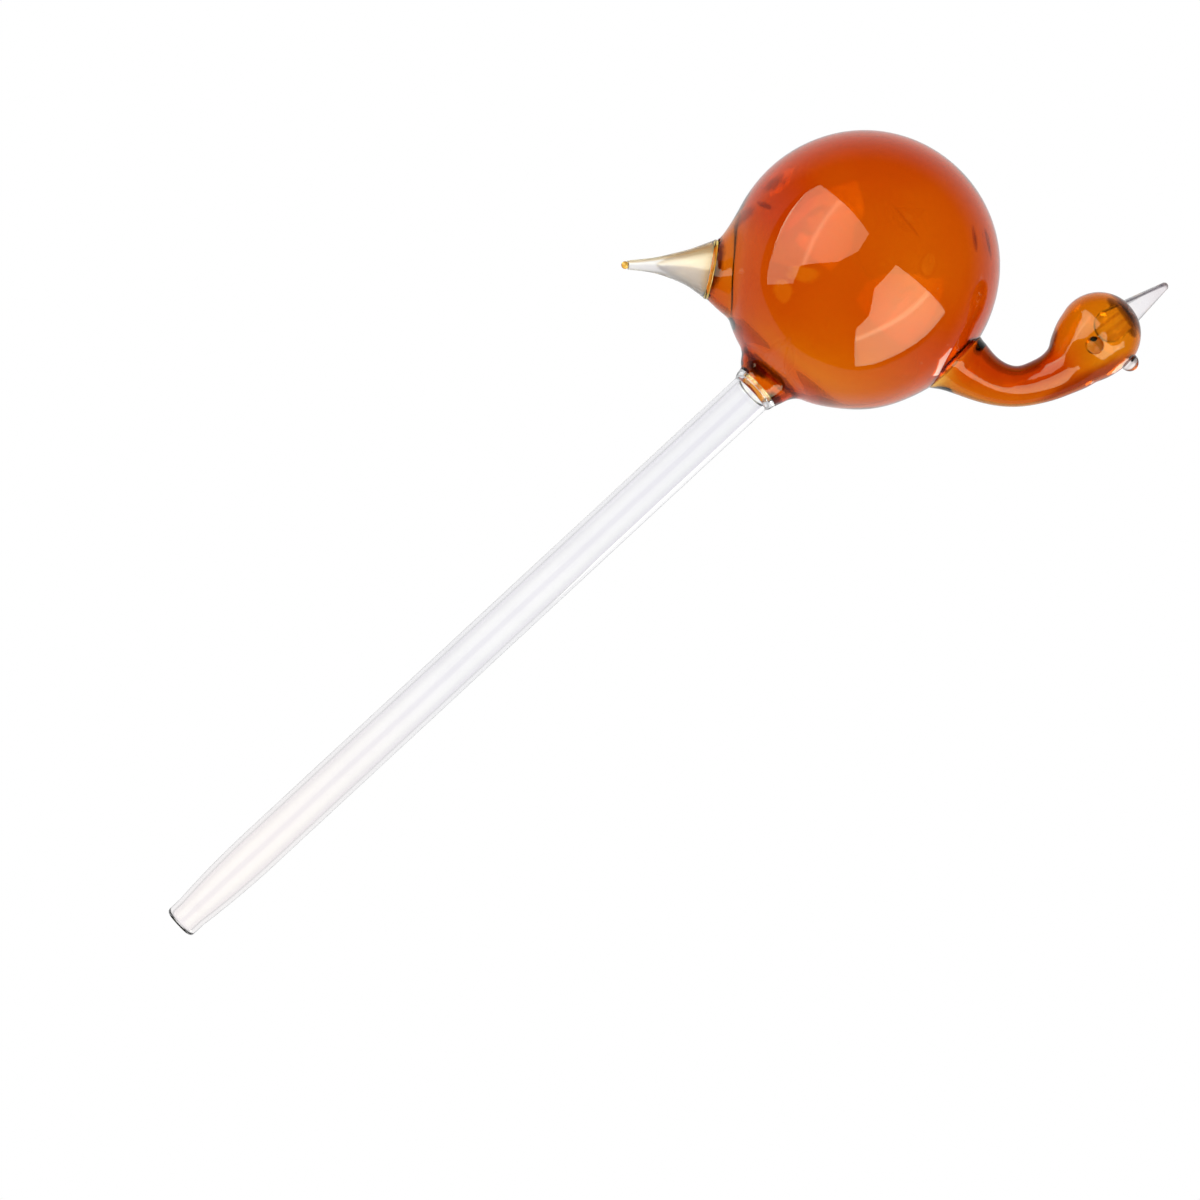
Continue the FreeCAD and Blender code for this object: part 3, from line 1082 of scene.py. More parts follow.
    def _stub_reach(self, ways: Array, inset: float) -> Array:
        """How far the stub's flare lies from the globe's centre, 0 where it isn't met.

        Args:
            ways: unit vectors from the centre.
            inset: how far the face lies in.

        Returns:
            A distance for each.
        """
        flat = ways.reshape(-1, 3)
        limit = math.cos(math.radians(self.flare_half_angle))
        picked = np.flatnonzero(flat @ direction(BACK + self.layout.tail_pitch) > limit)
        centres, normals, radii = self._flare_circles(inset)
        offsets = np.einsum("ij,ij->i", centres - self.layout.globe_centre, normals)
        along = offsets[None, :] / np.clip(flat[picked] @ normals.T, 1e-6, None)
        points = self.layout.globe_centre + along[..., None] * flat[picked][:, None, :]
        over = np.linalg.norm(points - centres[None], axis=-1) - radii[None]
        outside = over > 0.0
        rows, first = np.arange(len(picked)), np.argmax(outside, axis=1)
        before = np.clip(first - 1, 0, None)
        gap = over[rows, first] - over[rows, before]
        share = np.clip(-over[rows, before] / np.where(gap > 0, gap, 1.0), 0.0, 1.0)
        met = along[rows, before] + (along[rows, first] - along[rows, before]) * share
        out = np.zeros(len(flat))
        out[picked] = np.where(outside[:, 0], 0.0, np.where(outside.any(axis=1), met, along[:, -1]))
        return out.reshape(ways.shape[:-1])

    def _upright(self, points: Array) -> Array:
        """Bends the leaning collar's foot upright at the mouth.

        Args:
            points: points of the globe.

        Returns:
            The points, moved where they belong to the foot.
        """
        lean, mouth = self.layout.globe_lean, self.layout.mouth
        rise = (points - mouth) @ direction(UP + lean)
        aside = (points - mouth) @ direction(lean)
        angle = np.radians(lean * smooth_step(rise, 0.0, self.foot_height))
        still = np.zeros_like(angle)
        axis = np.stack([-np.sin(angle), still, np.cos(angle)], axis=-1)
        side = np.stack([np.cos(angle), still, np.sin(angle)], axis=-1)
        bent = mouth + rise[..., None] * axis + aside[..., None] * side
        bent[..., 1] = points[..., 1]
        return np.where((rise < self.foot_height)[..., None], bent, points)

    def _grid(self, face: Face) -> Array:
        """A face as rows round the port's direction, closer together at the collar and the tail.

        Args:
            face: the face wanted.

        Returns:
            Rows of points, the first round the port.
        """
        pitch = self.layout.root_pitch
        tilts = spaced(np.linspace(self.port_half_angle, 180.0, 2000), self.rows, self.tilt_bunches)
        spins = spaced(np.linspace(-180.0, 180.0, 2001), self.columns, self.spin_bunches, endpoint=False)
        round_way = np.cos(spins)[:, None] * direction(pitch - 90.0) + np.sin(spins)[:, None] * ACROSS
        ways = np.cos(tilts)[:, None, None] * direction(pitch) + np.sin(tilts)[:, None, None] * round_way[None]
        ways = units(ways)
        return self._upright(self.layout.globe_centre + ways * self.reach(ways, face)[..., None])

    def build(self, glass: Material) -> Piece:
        """Builds the globe, both faces joined at the mouth, the stub and the port.

        Args:
            glass: its material.

        Returns:
            The piece.
        """
        mouth, ring, tailward = self.layout.mouth, self.layout.ring_centre, self.layout.tailward
        foot = mouth + DOWN * self.layout.spigot_length
        outer, inner = (self._grid(face) for face in Face)
        sheets = [sheet_mesh(outer), sheet_mesh(inner)]
        for sheet, end in zip(sheets, (mouth, foot)):
            trimmed(sheet, end, DOWN)
            trimmed(sheet, ring, tailward)
        turns = full_circle(self.columns // 3)
        circle = self.spigot_radius * np.stack([np.cos(turns), np.sin(turns), np.zeros_like(turns)], axis=1)
        sheets.append(sheet_mesh(np.stack([mouth + circle, foot + circle])))
        sheets.append(sheet_mesh(np.stack([outer[0], inner[0]])))
        work = bmesh.new()
        for sheet in sheets:
            work.from_mesh(sheet)
            bpy.data.meshes.remove(sheet)
        bmesh.ops.remove_doubles(work, verts=work.verts, dist=WELD_DISTANCE)
        for point, outward, rim in zip((mouth, foot, ring), (DOWN, DOWN, tailward), self.rims):
            bmesh.ops.triangle_fill(work, use_beauty=True, edges=open_edges(work, point, outward, *rim),
                                    normal=Vector(outward))
        mesh = bpy.data.meshes.new("globe_blown")
        work.to_mesh(mesh)
        work.free()
        return placed(finished("globe_blown", mesh, glass), "globe_amber", "globe")


@dataclass
class Neck:
    """The hollow neck and head, welded on over the globe's port.

    The swell gives, by the share of the bend, the radius over the waist's and the drift of the middle line
    over the waist's radius. The entry gives, by the share of the way from the bend to the head's centre, how
    far the radius has grown from the waist's to the head's.
    """

    layout: Layout
    globe: Globe
    wall: float = 1.0
    waist_radius: float = 5.15
    root_turn: float = -14.0
    overrun: float = 1.0
    bore_drift: float = 0.3
    swell: tuple = (
        (0.0, 2.10, 0.70), (0.115, 1.72, 0.34), (0.15, 1.58, 0.20), (0.19, 1.465, 0.11), (0.265, 1.31, 0.04),
        (0.34, 1.193, 0.03), (0.435, 1.08, 0.04), (0.565, 1.0, 0.04), (0.70, 1.05, -0.04), (0.81, 1.12, -0.04),
        (0.905, 1.23, -0.01), (0.98, 1.39, 0.03),
    )
    entry: tuple = ((0.1, 0.51), (0.25, 0.645), (0.45, 0.799), (0.62, 0.886), (0.8, 0.953), (0.92, 0.991),
                    (1.0, 1.0), (1.08, 0.991))
    beak_slope: float = 11.71
    root_wall_share: float = 0.08
    root_thinning: float = 0.09
    swell_pace: float = 0.5
    fine_rows: int = 900
    rows: int = 170
    crown_rows: int = 40
    columns: int = 144

    def _stations(self, inset: float) -> Array:
        """The circles that the neck runs through.

        Args:
            inset: how far the face lies in.

        Returns:
            Rows of x, z, heading and radius.
        """
        rows = []
        for share, swell, drift in self.swell:
            turn = self.root_turn + (self.layout.end_turn - self.root_turn) * share
            shift = self.bore_drift * math.sin(math.pi * share) if inset else 0.0
            outward = self.layout.bend_radius + self.waist_radius * drift + shift
            centre = polar(self.layout.bend_centre, turn - 90.0, outward)
            rows.append((centre, turn, self.waist_radius * swell - inset))
        if inset:
            centre, turn, radius = rows[0]
            rows.insert(0, (polar(centre, turn, -self.overrun), turn, radius))
        for share, growth in self.entry:
            centre = polar(self.layout.bend_end, self.layout.end_turn, self.layout.head_stand_off * share)
            radius = self.waist_radius + (self.layout.head_radius - self.waist_radius) * growth
            rows.append((centre, self.layout.end_turn, radius - inset))
        return np.array([(centre[0], centre[2], turn, radius) for centre, turn, radius in rows])

    def _crown(self, inset: float, turns: Array) -> Array:
        """Rows over the head's top, from its widest circle to the hole for the beak.

        Args:
            inset: how far the face lies in.
            turns: where on each row the points are, in radians.

        Returns:
            The rows of points.
        """
        radius = self.layout.head_radius - inset
        root = self.layout.beak_root_height * math.sin(math.radians(self.beak_slope))
        hole = math.asin((self.layout.beak_root_radius + root + AIR_GAP) / radius)
        share = np.linspace(0.0, 1.0, self.crown_rows)[1:]
        heading = self.layout.end_turn + (UP - self.layout.beak_lean - self.layout.end_turn) * share
        spread = np.radians(90.0 + (math.degrees(hole) - self.beak_slope - 90.0) * share)
        ways = np.stack([direction(angle) for angle in heading])
        centres = self.layout.head_centre + ways * (radius * np.cos(spread))[:, None]
        return circle_points(centres, heading, radius * np.sin(spread), turns)

    def _face(self, inset: float) -> Array:
        """One face of the shell, from the globe's surface to the beak's hole.

        Args:
            inset: how far the face lies in.

        Returns:
            Rows of points.
        """
        stations = self._stations(inset)
        change = np.diff(stations, axis=0)
        step = np.hypot(change[:, 0], change[:, 1]) + np.abs(change[:, 3]) * self.swell_pace
        places = np.concatenate([[0.0], np.cumsum(step)])
        dense = np.linspace(0.0, places[-2], self.fine_rows)
        x, z, heading, radius = curve_through(np.column_stack([places, stations]), dense).T
        turns = full_circle(self.columns)
        points = circle_points(np.stack([x, np.zeros_like(x), z], axis=1), heading, radius, turns)
        away = points - self.layout.globe_centre
        over = np.linalg.norm(away, axis=-1) - self.globe.reach(units(away), Face.OUTER) - AIR_GAP
        end, columns = len(dense) - 1, np.arange(self.columns)
        last = end - np.argmax(over[::-1] < 0.0, axis=0)
        low, high = over[last, columns], over[np.clip(last + 1, 0, end), columns]
        start = dense[last] + dense[1] * np.clip(-low / np.maximum(high - low, 1e-9), 0.0, 1.0)
        wanted = start + (dense[-1] - start) * np.linspace(0.0, 1.0, self.rows)[:, None]
        row = np.clip(np.searchsorted(dense, wanted, side="right") - 1, 0, end - 1)
        share = ((wanted - dense[row]) / (dense[row + 1] - dense[row]))[..., None]
        grid = points[row, columns] + (points[row + 1, columns] - points[row, columns]) * share
        return np.concatenate([grid, self._crown(inset, turns)])

    def build(self, glass: Material) -> Piece:
        """Builds the shell, both faces joined at the globe and at the beak.

        Args:
            glass: its material.

        Returns:
            The piece.
        """
        outside, inside = self._face(0.0), self._face(self.wall)
        share = smooth_step(np.linspace(0.0, 1.0, len(outside)), 0.0, self.root_thinning)[:, None, None]
        inside = outside + (inside - outside) * (self.root_wall_share + (1.0 - self.root_wall_share) * share)
        shell = sheet_mesh(np.concatenate([outside, inside[::-1], outside[:1]]))
        return placed(finished("neck_and_head_blown", shell, glass), "neck_amber", "neck_and_head")


@dataclass
class Beak(Turnery):
    """The clear solid spike, its root ball inside the head."""

    reach: float = 20.5
    tip_radius: float = 1.0
    root_rows: int = 30
    run_rows: int = 30
    tip_rows: int = 16
    facets: int = 96

    def build(self, glass: Material) -> Piece:
        """Builds the spike.

        Args:
            glass: its material.

        Returns:
            The piece.
        """
        root, length = self.layout.beak_root_radius, self.reach - self.layout.beak_root_height
        slope = math.degrees(math.asin((root - self.tip_radius) / length))
        ball = rounded((0.0, 0.0), (root, root), -90.0, slope, self.root_rows)
        point = rounded((0.0, length), (self.tip_radius, self.tip_radius), slope, 90.0, self.tip_rows)
        run = ball[-1] + (point[0] - ball[-1]) * np.linspace(0.0, 1.0, self.run_rows)[1:-1, None]
        profile = np.concatenate([ball, run, point])
        way = direction(UP - self.layout.beak_lean)
        seat = self.layout.head_centre + way * self.layout.beak_root_height
        piece = self.works.turned("beak_drawn", profile, glass, self.facets, way, seat)
        return placed(piece, "beak_glass", "beak")


@dataclass
class Eye(Turnery):
    """A clear domed bead on the head, over a black dot a little off its middle."""

    side: str
    pitch: float
    turn: float
    radius: float = 2.35
    height: float = 2.55
    dome_start: float = 3.43775
    dot_radius: float = 0.8
    dot_height: float = 0.4
    dot_rim: float = 0.2
    dot_pitch: float = 5.0
    dot_turn: float = -7.5
    foot_rows: int = 10
    dome_rows: int = 26
    rim_rows: int = 8
    facets: int = 64
    dot_facets: int = 40

    def _gaze(self, pitch: float, turn: float) -> Array:
        """A direction from the head's centre, raised by a pitch and turned about +Z from +X."""
        rise, spin = math.radians(pitch), math.radians(turn)
        return np.array([math.cos(rise) * math.cos(spin), math.cos(rise) * math.sin(spin), math.sin(rise)])

    def bead(self, glass: Material) -> Piece:
        """Builds the bead, its foot shaped to the head.

        Args:
            glass: its material.

        Returns:
            The piece.
        """
        head = self.layout.head_radius
        foot = np.linspace(0.0, 1.0, self.foot_rows) * (self.radius - AIR_GAP)
        base = np.stack([foot, np.sqrt((head + AIR_GAP) ** 2 - foot ** 2)], axis=1)
        seat = math.sqrt(head ** 2 - self.radius ** 2)
        dome = rounded((0.0, seat), (self.radius, self.height), self.dome_start, 90.0, self.dome_rows)
        piece = self.works.turned(f"eye_bead_{self.side}_domed", np.concatenate([base, dome]), glass,
                                  self.facets, self._gaze(self.pitch, self.turn), self.layout.head_centre)
        return placed(piece, "eye_glass", f"eye_bead_{self.side}")

    def dot(self, black: Material) -> Piece:
        """Builds the dot under the bead, its rim rounded.

        Args:
            black: its material.

        Returns:
            The piece.
        """
        foot, soft = self.layout.head_radius + 2.0 * AIR_GAP, self.dot_rim
        top = foot + self.dot_height - 2.0 * AIR_GAP
        rim = rounded((self.dot_radius - soft, top - soft), (soft, soft), 0.0, 90.0, self.rim_rows)
        profile = np.concatenate([[[0.0, foot], [self.dot_radius, foot]], rim, [[0.0, top]]])
        way = self._gaze(self.pitch + self.dot_pitch, self.turn + self.dot_turn)
        piece = self.works.turned(f"pupil_{self.side}_domed", profile, black, self.dot_facets, way,
                                  self.layout.head_centre)
        return placed(piece, "pupil_black", f"pupil_{self.side}")


@dataclass
class Tail(Turnery):
    """The golden ring on the globe's stub, the pale cone and the amber bead at its end.

    The swell gives the cone's radius over the ring's by the share of its length.
    """

    ring_wall: float = 1.2
    ring_width: float = 1.1
    ring_bulge: float = 0.2
    ring_rows: int = 12
    tip_heading: float = 50.0
    chord_pitch: float = 44.9
    bend: float = 7.0
    length: float = 20.9
    wall: float = 0.8
    tip_radius: float = 1.0
    swell: tuple = (
        (0.0, 0.96), (0.05, 0.885), (0.13, 0.765), (0.25, 0.60), (0.41, 0.445), (0.61, 0.285), (0.8, 0.20),
        (0.97, 0.155),
    )
    base_share: float = 0.13
    base_rows: int = 16
    end_share: float = 0.97
    end_rows: int = 56
    cup_rows: int = 8
    hollow_share: float = 0.61
    closing_share: float = 0.3
    closing_wall: float = 1.1
    hollow_point: float = 0.012
    facets: int = 112
    tip_rows: int = 25
    tip_facets: int = 48

    def _point(self, share: float) -> Array:
        """A point of the cone's middle line.

        Args:
            share: how far along, from 0 at the ring's outer face to 1 at the tip.

        Returns:
            The point.
        """
        base = self.layout.ring_centre + self.layout.tailward * self.ring_width
        chord = 2.0 * self.length / math.radians(self.bend) * math.sin(math.radians(self.bend * share / 2.0))
        return polar(base, BACK + self.chord_pitch - self.bend * (1.0 - share) / 2.0, chord)

    def _ring(self, share: float, radius: float) -> tuple:
        """A circle of the cone."""
        start = self.layout.ring_heading
        return self._point(share), start + (self.tip_heading - start) * share, radius

    def weld_ring(self, glass: Material) -> Piece:
        """Builds the golden ring.

        Args:
            glass: its material.

        Returns:
            The piece.
        """
        outer = self.layout.ring_radius
        inner, far = outer - self.ring_wall, self.ring_width - AIR_GAP
        belly = bulged((outer, AIR_GAP), (outer * self.swell[0][1], far), self.ring_bulge, self.ring_rows)
        profile = np.concatenate([[[inner, AIR_GAP]], belly, [[inner, far], [inner, AIR_GAP]]])
        piece = self.works.turned("tail_weld_ring_drawn", profile, glass, self.facets, self.layout.tailward,
                                  self.layout.ring_centre)
        return placed(piece, "golden_glass", "tail_weld_ring")

    def cone(self, glass: Material) -> Piece:
        """Builds the hollow cone, cupped over the bead at its end.

        Args:
            glass: its material.

        Returns:
            The piece.
        """
        base = np.linspace(0.0, self.base_share, self.base_rows)
        shares = np.concatenate([base, np.linspace(self.base_share, self.end_share, self.end_rows)[1:]])
        radii = curve_through(self.swell, shares)[:, 0] * self.layout.ring_radius
        cup_radius, tip = self.tip_radius + AIR_GAP, self._point(1.0)
        back = np.linalg.norm(tip - self._point(self.end_share))
        opening = math.degrees(math.acos(back / cup_radius))
        cup = rounded((0.0, 0.0), (cup_radius, cup_radius), opening, 0.0, self.cup_rows)
        rings = [self._ring(share, radius) for share, radius in zip(shares, radii)]
        rings += [(polar(tip, self.tip_heading, along), self.tip_heading, radius) for along, radius in cup]
        hollow = shares <= self.hollow_share
        closing = smooth_step(shares[hollow], self.closing_share, self.hollow_share)
        bores = radii[hollow] - self.wall * (1.0 + self.closing_wall * closing)
        inside = [self._ring(share, radius) for share, radius in zip(shares[hollow], bores)]
        inside.append(self._ring(self.hollow_share + self.hollow_point, 0.0))
        piece = self.works.skin("tail_cone_drawn", [*inside[::-1], *rings], glass, self.facets)
        return placed(piece, "ivory_glass", "tail_cone")

    def tip(self, glass: Material) -> Piece:
        """Builds the bead at the cone's end.

        Args:
            glass: its material.

        Returns:
            The piece.
        """
        profile = rounded((0.0, 0.0), (self.tip_radius, self.tip_radius), -90.0, 90.0, self.tip_rows)
        piece = self.works.turned("tail_tip_drawn", profile, glass, self.tip_facets,
                                  direction(BACK + self.tip_heading), self._point(1.0))
        return placed(piece, "tip_amber", "tail_tip")


# The studio


@dataclass
class Studio:
    """The floor, the soft white room, its windows of light and the camera.

    The windows and the folds of their curtains are given as pixels of the photograph's globe. The room's
    levels are what Map Range nodes take: from low and high, to low and high.
    """

    layout: Layout
    lens: float = 480.0
    sensor: float = 36.0
    distance: float = 4.0
    rise: float = 7.5
    roll: tuple = (0.680, 0.733)
    middle: tuple = (0.01218, 0.0, 0.1329)
    side_levels: tuple = (0.35, 0.85, 0.62, 1.0)
    table_edge: tuple = (-0.02, 0.02)
    table_levels: tuple = (-0.3, 0.3, 0.0, 0.3)
    mirror_levels: tuple = (0.1, 1.1, 0.015, 0.75)
    floor_height: float = -0.45
    floor_reach: float = 6.0
    floor_greys: tuple = (0.86, 0.9)
    floor_roughness: float = 0.7
    window_distance: float = 1.1
    window_light: float = 2.55
    window_fade: tuple = (1.2, 0.85)
    window_tones: tuple = ((1.05, 1.05, 0.75), (1.25, 1.45, 1.0), (0.8, 0.8, 0.7))
    folds: tuple = (((840, 205), (806, 262)), ((871, 334), (925, 300)), ((945, 368), (960, 350)))
    fold_width: float = 0.07
    fold_light: float = 1.6
    veil: float = 0.2
    veil_step: float = 1.03
    pixel: float = 0.25
    windows: tuple = (
        ((819, 188), (830, 197), (848, 214), (868, 238), (858, 255), (839, 264), (803, 264), (798, 278),
         (772, 278), (776, 249), (790, 217), (807, 194)),
        ((895, 269), (914, 283), (932, 299), (946, 315), (927, 338), (899, 356), (864, 364), (862, 327),
         (872, 316), (875, 291)),
        ((940, 375), (943, 361), (953, 350), (964, 346), (963, 358), (954, 370)),
    )
    neck_side: int = 1
    neck_window: tuple = (
        (867, 272), (879, 268), (887, 273), (889, 300), (904, 314), (925, 310), (943, 292), (947, 314),
        (932, 322), (903, 336), (893, 331), (880, 322), (866, 312), (853, 291),
    )
    neck_fold: tuple = ((850, 255), (900, 255))
    neck_share: float = 0.78
    neck_step: float = 0.97
    globe_pixel: tuple = (862.5, 270.7)

    def _axes(self) -> tuple:
        """The photograph's own directions.

        Returns:
            Its right, its up and its forward.
        """
        turn = math.radians(self.rise)
        right, forward = direction(0.0), np.array([0.0, math.cos(turn), math.sin(turn)])
        up = np.cross(right, forward)
        along, across = self.roll
        return along * right + across * up, along * up - across * right, forward

    def camera(self) -> None:
        """Places the camera at the photograph's viewing angle."""
        right, up, forward = self._axes()
        data = bpy.data.cameras.new("camera")
        data.lens, data.sensor_width = self.lens, self.sensor
        data.clip_start, data.clip_end = 0.05, 40.0
        camera = linked("camera", data)
        place = np.array(self.middle) - forward * self.distance
        pose = np.eye(4)
        pose[:3] = np.stack([right, up, -forward, place], axis=1)
        camera.matrix_world = Matrix(pose.tolist())
        bpy.context.scene.camera = camera

    def room(self) -> None:
        """Lights the scene from all round, white behind the object and darker beside it."""
        world = bpy.data.worlds.new("white_room")
        world.use_nodes = True
        bpy.context.scene.world = world
        world.node_tree.nodes.clear()
        bench = Bench(world.node_tree)
        way = bench.add("ShaderNodeTexCoord").outputs["Generated"]
        through = bench.spread(bench.maths("ABSOLUTE", bench.parts(way)[1]), *self.side_levels)
        right, up, forward = self._axes()
        ahead = bench.vector("DOT_PRODUCT", way, tuple(forward))
        below = bench.vector("DOT_PRODUCT", way, tuple(-units(right + up)))
        table = bench.maths("MULTIPLY", bench.spread(ahead, *self.table_edge),
                            bench.spread(below, *self.table_levels))
        seen = bench.maths("MAXIMUM", bench.spread(ahead, *self.mirror_levels), table)
        path = bench.add("ShaderNodeLightPath").outputs
        direct = bench.maths("SUBTRACT", 1.0, path["Is Transmission Ray"])
        mirrored = bench.maths("MULTIPLY", path["Is Glossy Ray"], direct)
        level = bench.maths("ADD", bench.maths("MULTIPLY", through, bench.maths("SUBTRACT", 1.0, mirrored)),
                            bench.maths("MULTIPLY", seen, mirrored))
        level = bench.maths("MAXIMUM", level, path["Is Camera Ray"])
        light = bench.add("ShaderNodeBackground", {"Strength": level, "Color": (1.0, 1.0, 1.0, 1.0)})
        bench.add("ShaderNodeOutputWorld", {"Surface": light.outputs[0]})

    def _staged(self, name: str, corners: list, material: Material) -> Piece:
        """Stands a flat face in the studio.

        Args:
            name: its name.
            corners: its corners, in metres.
            material: its material.

        Returns:
            The face.
        """
        mesh = bpy.data.meshes.new(name)
        mesh.from_pydata(corners, [], [tuple(range(len(corners)))])
        mesh.materials.append(material)
        piece = linked(name, mesh)
        return piece

    def floor(self) -> None:
        """Lays the pale floor."""
        material = bpy.data.materials.new("pale_floor")
        material.use_nodes = True
        bench = Bench(material.node_tree)
        grain = bench.noise(bench.object_place(), 6.0, 3.0)
        colour = bench.blend(grain, *(opaque((grey, grey, grey)) for grey in self.floor_greys))
        paint = material.node_tree.nodes["Principled BSDF"].inputs
        bench.feed(paint["Base Color"], colour)
        bench.feed(paint["Roughness"], self.floor_roughness)
        reach, height = self.floor_reach, self.floor_height
        corners = [(x * reach, y * reach, height) for x, y in ((-1, -1), (1, -1), (1, 1), (-1, 1))]
        self._staged("floor", corners, material).visible_glossy = False

    def _bounce(self, dot: tuple) -> Array:
        """Where the room is seen by reflection at a pixel of the globe.

        Args:
            dot: the pixel.

        Returns:
            The place, in metres.
        """
        right, up, forward = self._axes()
        radius = self.layout.globe_radius
        aside = (dot[0] - self.globe_pixel[0]) * self.pixel
        above = (self.globe_pixel[1] - dot[1]) * self.pixel
        near = math.sqrt(radius ** 2 - aside ** 2 - above ** 2)
        normal = (aside * right + above * up - near * forward) / radius
        way = forward + 2.0 * near / radius * normal
        return (self.layout.globe_centre + radius * normal) * MM + way * self.window_distance

    def _window_glow(self, name: str, corners: Array, fold: list, tone: tuple, share: float) -> Material:
        """The light of a window: strongest at its middle and along the fold of its curtain.

        Args:
            name: the material's name.
            corners: the window's corners, in metres.
            fold: the two ends of the fold.
            tone: the light's colour.
            share: how much of the light comes through.

        Returns:
            The material.
        """
        material, bench = blank_material(name)
        place = bench.object_place()
        middle, (start, end) = corners.mean(axis=0), fold
        away = bench.vector("DISTANCE", place, tuple(middle))
        size = float(np.linalg.norm(corners - middle, axis=1).max())
        across = units(np.cross(end - start, np.cross(corners[0] - middle, corners[3] - middle)))
        aside = bench.vector("DOT_PRODUCT", bench.vector("SUBTRACT", place, tuple(start)), tuple(across))
        crease = bench.spread(bench.maths("ABSOLUTE", aside), 0.0, self.fold_width, self.fold_light, 0.0)
        glow = bench.spread(away, 0.0, size, *(self.window_light * fade for fade in self.window_fade))
        strength = bench.maths("MULTIPLY", bench.maths("ADD", glow, crease), share)
        light = bench.add("ShaderNodeEmission", {"Color": opaque(tone), "Strength": strength})
        clear = bench.add("ShaderNodeBsdfTransparent")
        both = bench.add("ShaderNodeAddShader", {0: light.outputs[0], 1: clear.outputs[0]})
        bench.add("ShaderNodeOutputMaterial", {"Surface": both.outputs[0]})
        return material

    def _hang(self, name: str, window: tuple, fold: tuple, tone: tuple, share: float, step: float) -> None:
        """Hangs one pane of light where the globe shows its reflection.

        Args:
            name: the pane's name.
            window: its corners, as pixels of the globe.
            fold: the ends of its curtain's fold, as pixels.
            tone: its light's colour.
            share: how much of the light comes through.
            step: how far out it hangs, as a share of the windows' distance.
        """
        middle = self.layout.globe_centre * MM
        corners = np.array([self._bounce(dot) for dot in window])
        glow = self._window_glow(name, corners, [self._bounce(dot) for dot in fold], tone, share)
        self._staged(name, (middle + (corners - middle) * step).tolist(), glow).visible_camera = False

    def light_windows(self) -> None:
        """Hangs the windows of light, each with a veiled double, and the neck's narrow one."""
        for number, (window, fold, tone) in enumerate(zip(self.windows, self.folds, self.window_tones)):
            self._hang(f"window_{number}", window, fold, tone, 1.0, 1.0)
            self._hang(f"veiled_window_{number}", window, fold, tone, self.veil, self.veil_step)
        tone = self.window_tones[self.neck_side]
        self._hang("neck_window", self.neck_window, self.neck_fold, tone, self.neck_share, self.neck_step)

    def _aim(self, name: str, pieces: list, state: str) -> None:
        """Lights only some pieces with a pane, or all but them.

        Args:
            name: the pane's name.
            pieces: the pieces.
            state: INCLUDE for the pieces alone, EXCLUDE for all but them.
        """
        kept = bpy.data.collections.new(f"{name}_{state.lower()}")
        for piece in pieces:
            kept.objects.link(piece)
        for entry in kept.collection_objects:
            entry.light_linking.link_state = state
        bpy.data.objects[name].light_linking.receiver_collection = kept

    def aim_windows(self, neck: Piece, clear: list) -> None:
        """Shows the clear pieces the veiled windows alone, the neck a narrower second one and the floor none.

        Args:
            neck: the neck and head.
            clear: the pieces that the full windows would burn out.
        """
        shy = [*clear, bpy.data.objects["floor"]]
        for number in range(len(self.windows)):
            self._aim(f"veiled_window_{number}", clear, "INCLUDE")
            self._aim(f"window_{number}", [*shy, neck] if number == self.neck_side else shy, "EXCLUDE")
        self._aim("neck_window", [neck], "INCLUDE")

    def build(self) -> None:
        """Sets up the whole studio."""
        self.camera()
        self.room()
        self.floor()
        self.light_windows()
        bpy.context.scene.view_settings.view_transform = "Standard"
        LOG.info("studio: camera %.0f mm, floor at %.2f m", self.lens, self.floor_height)


# The finishes. The numbers of a patch are its middle, reach, softness, colour, strength, raggedness, weights
# and turn.

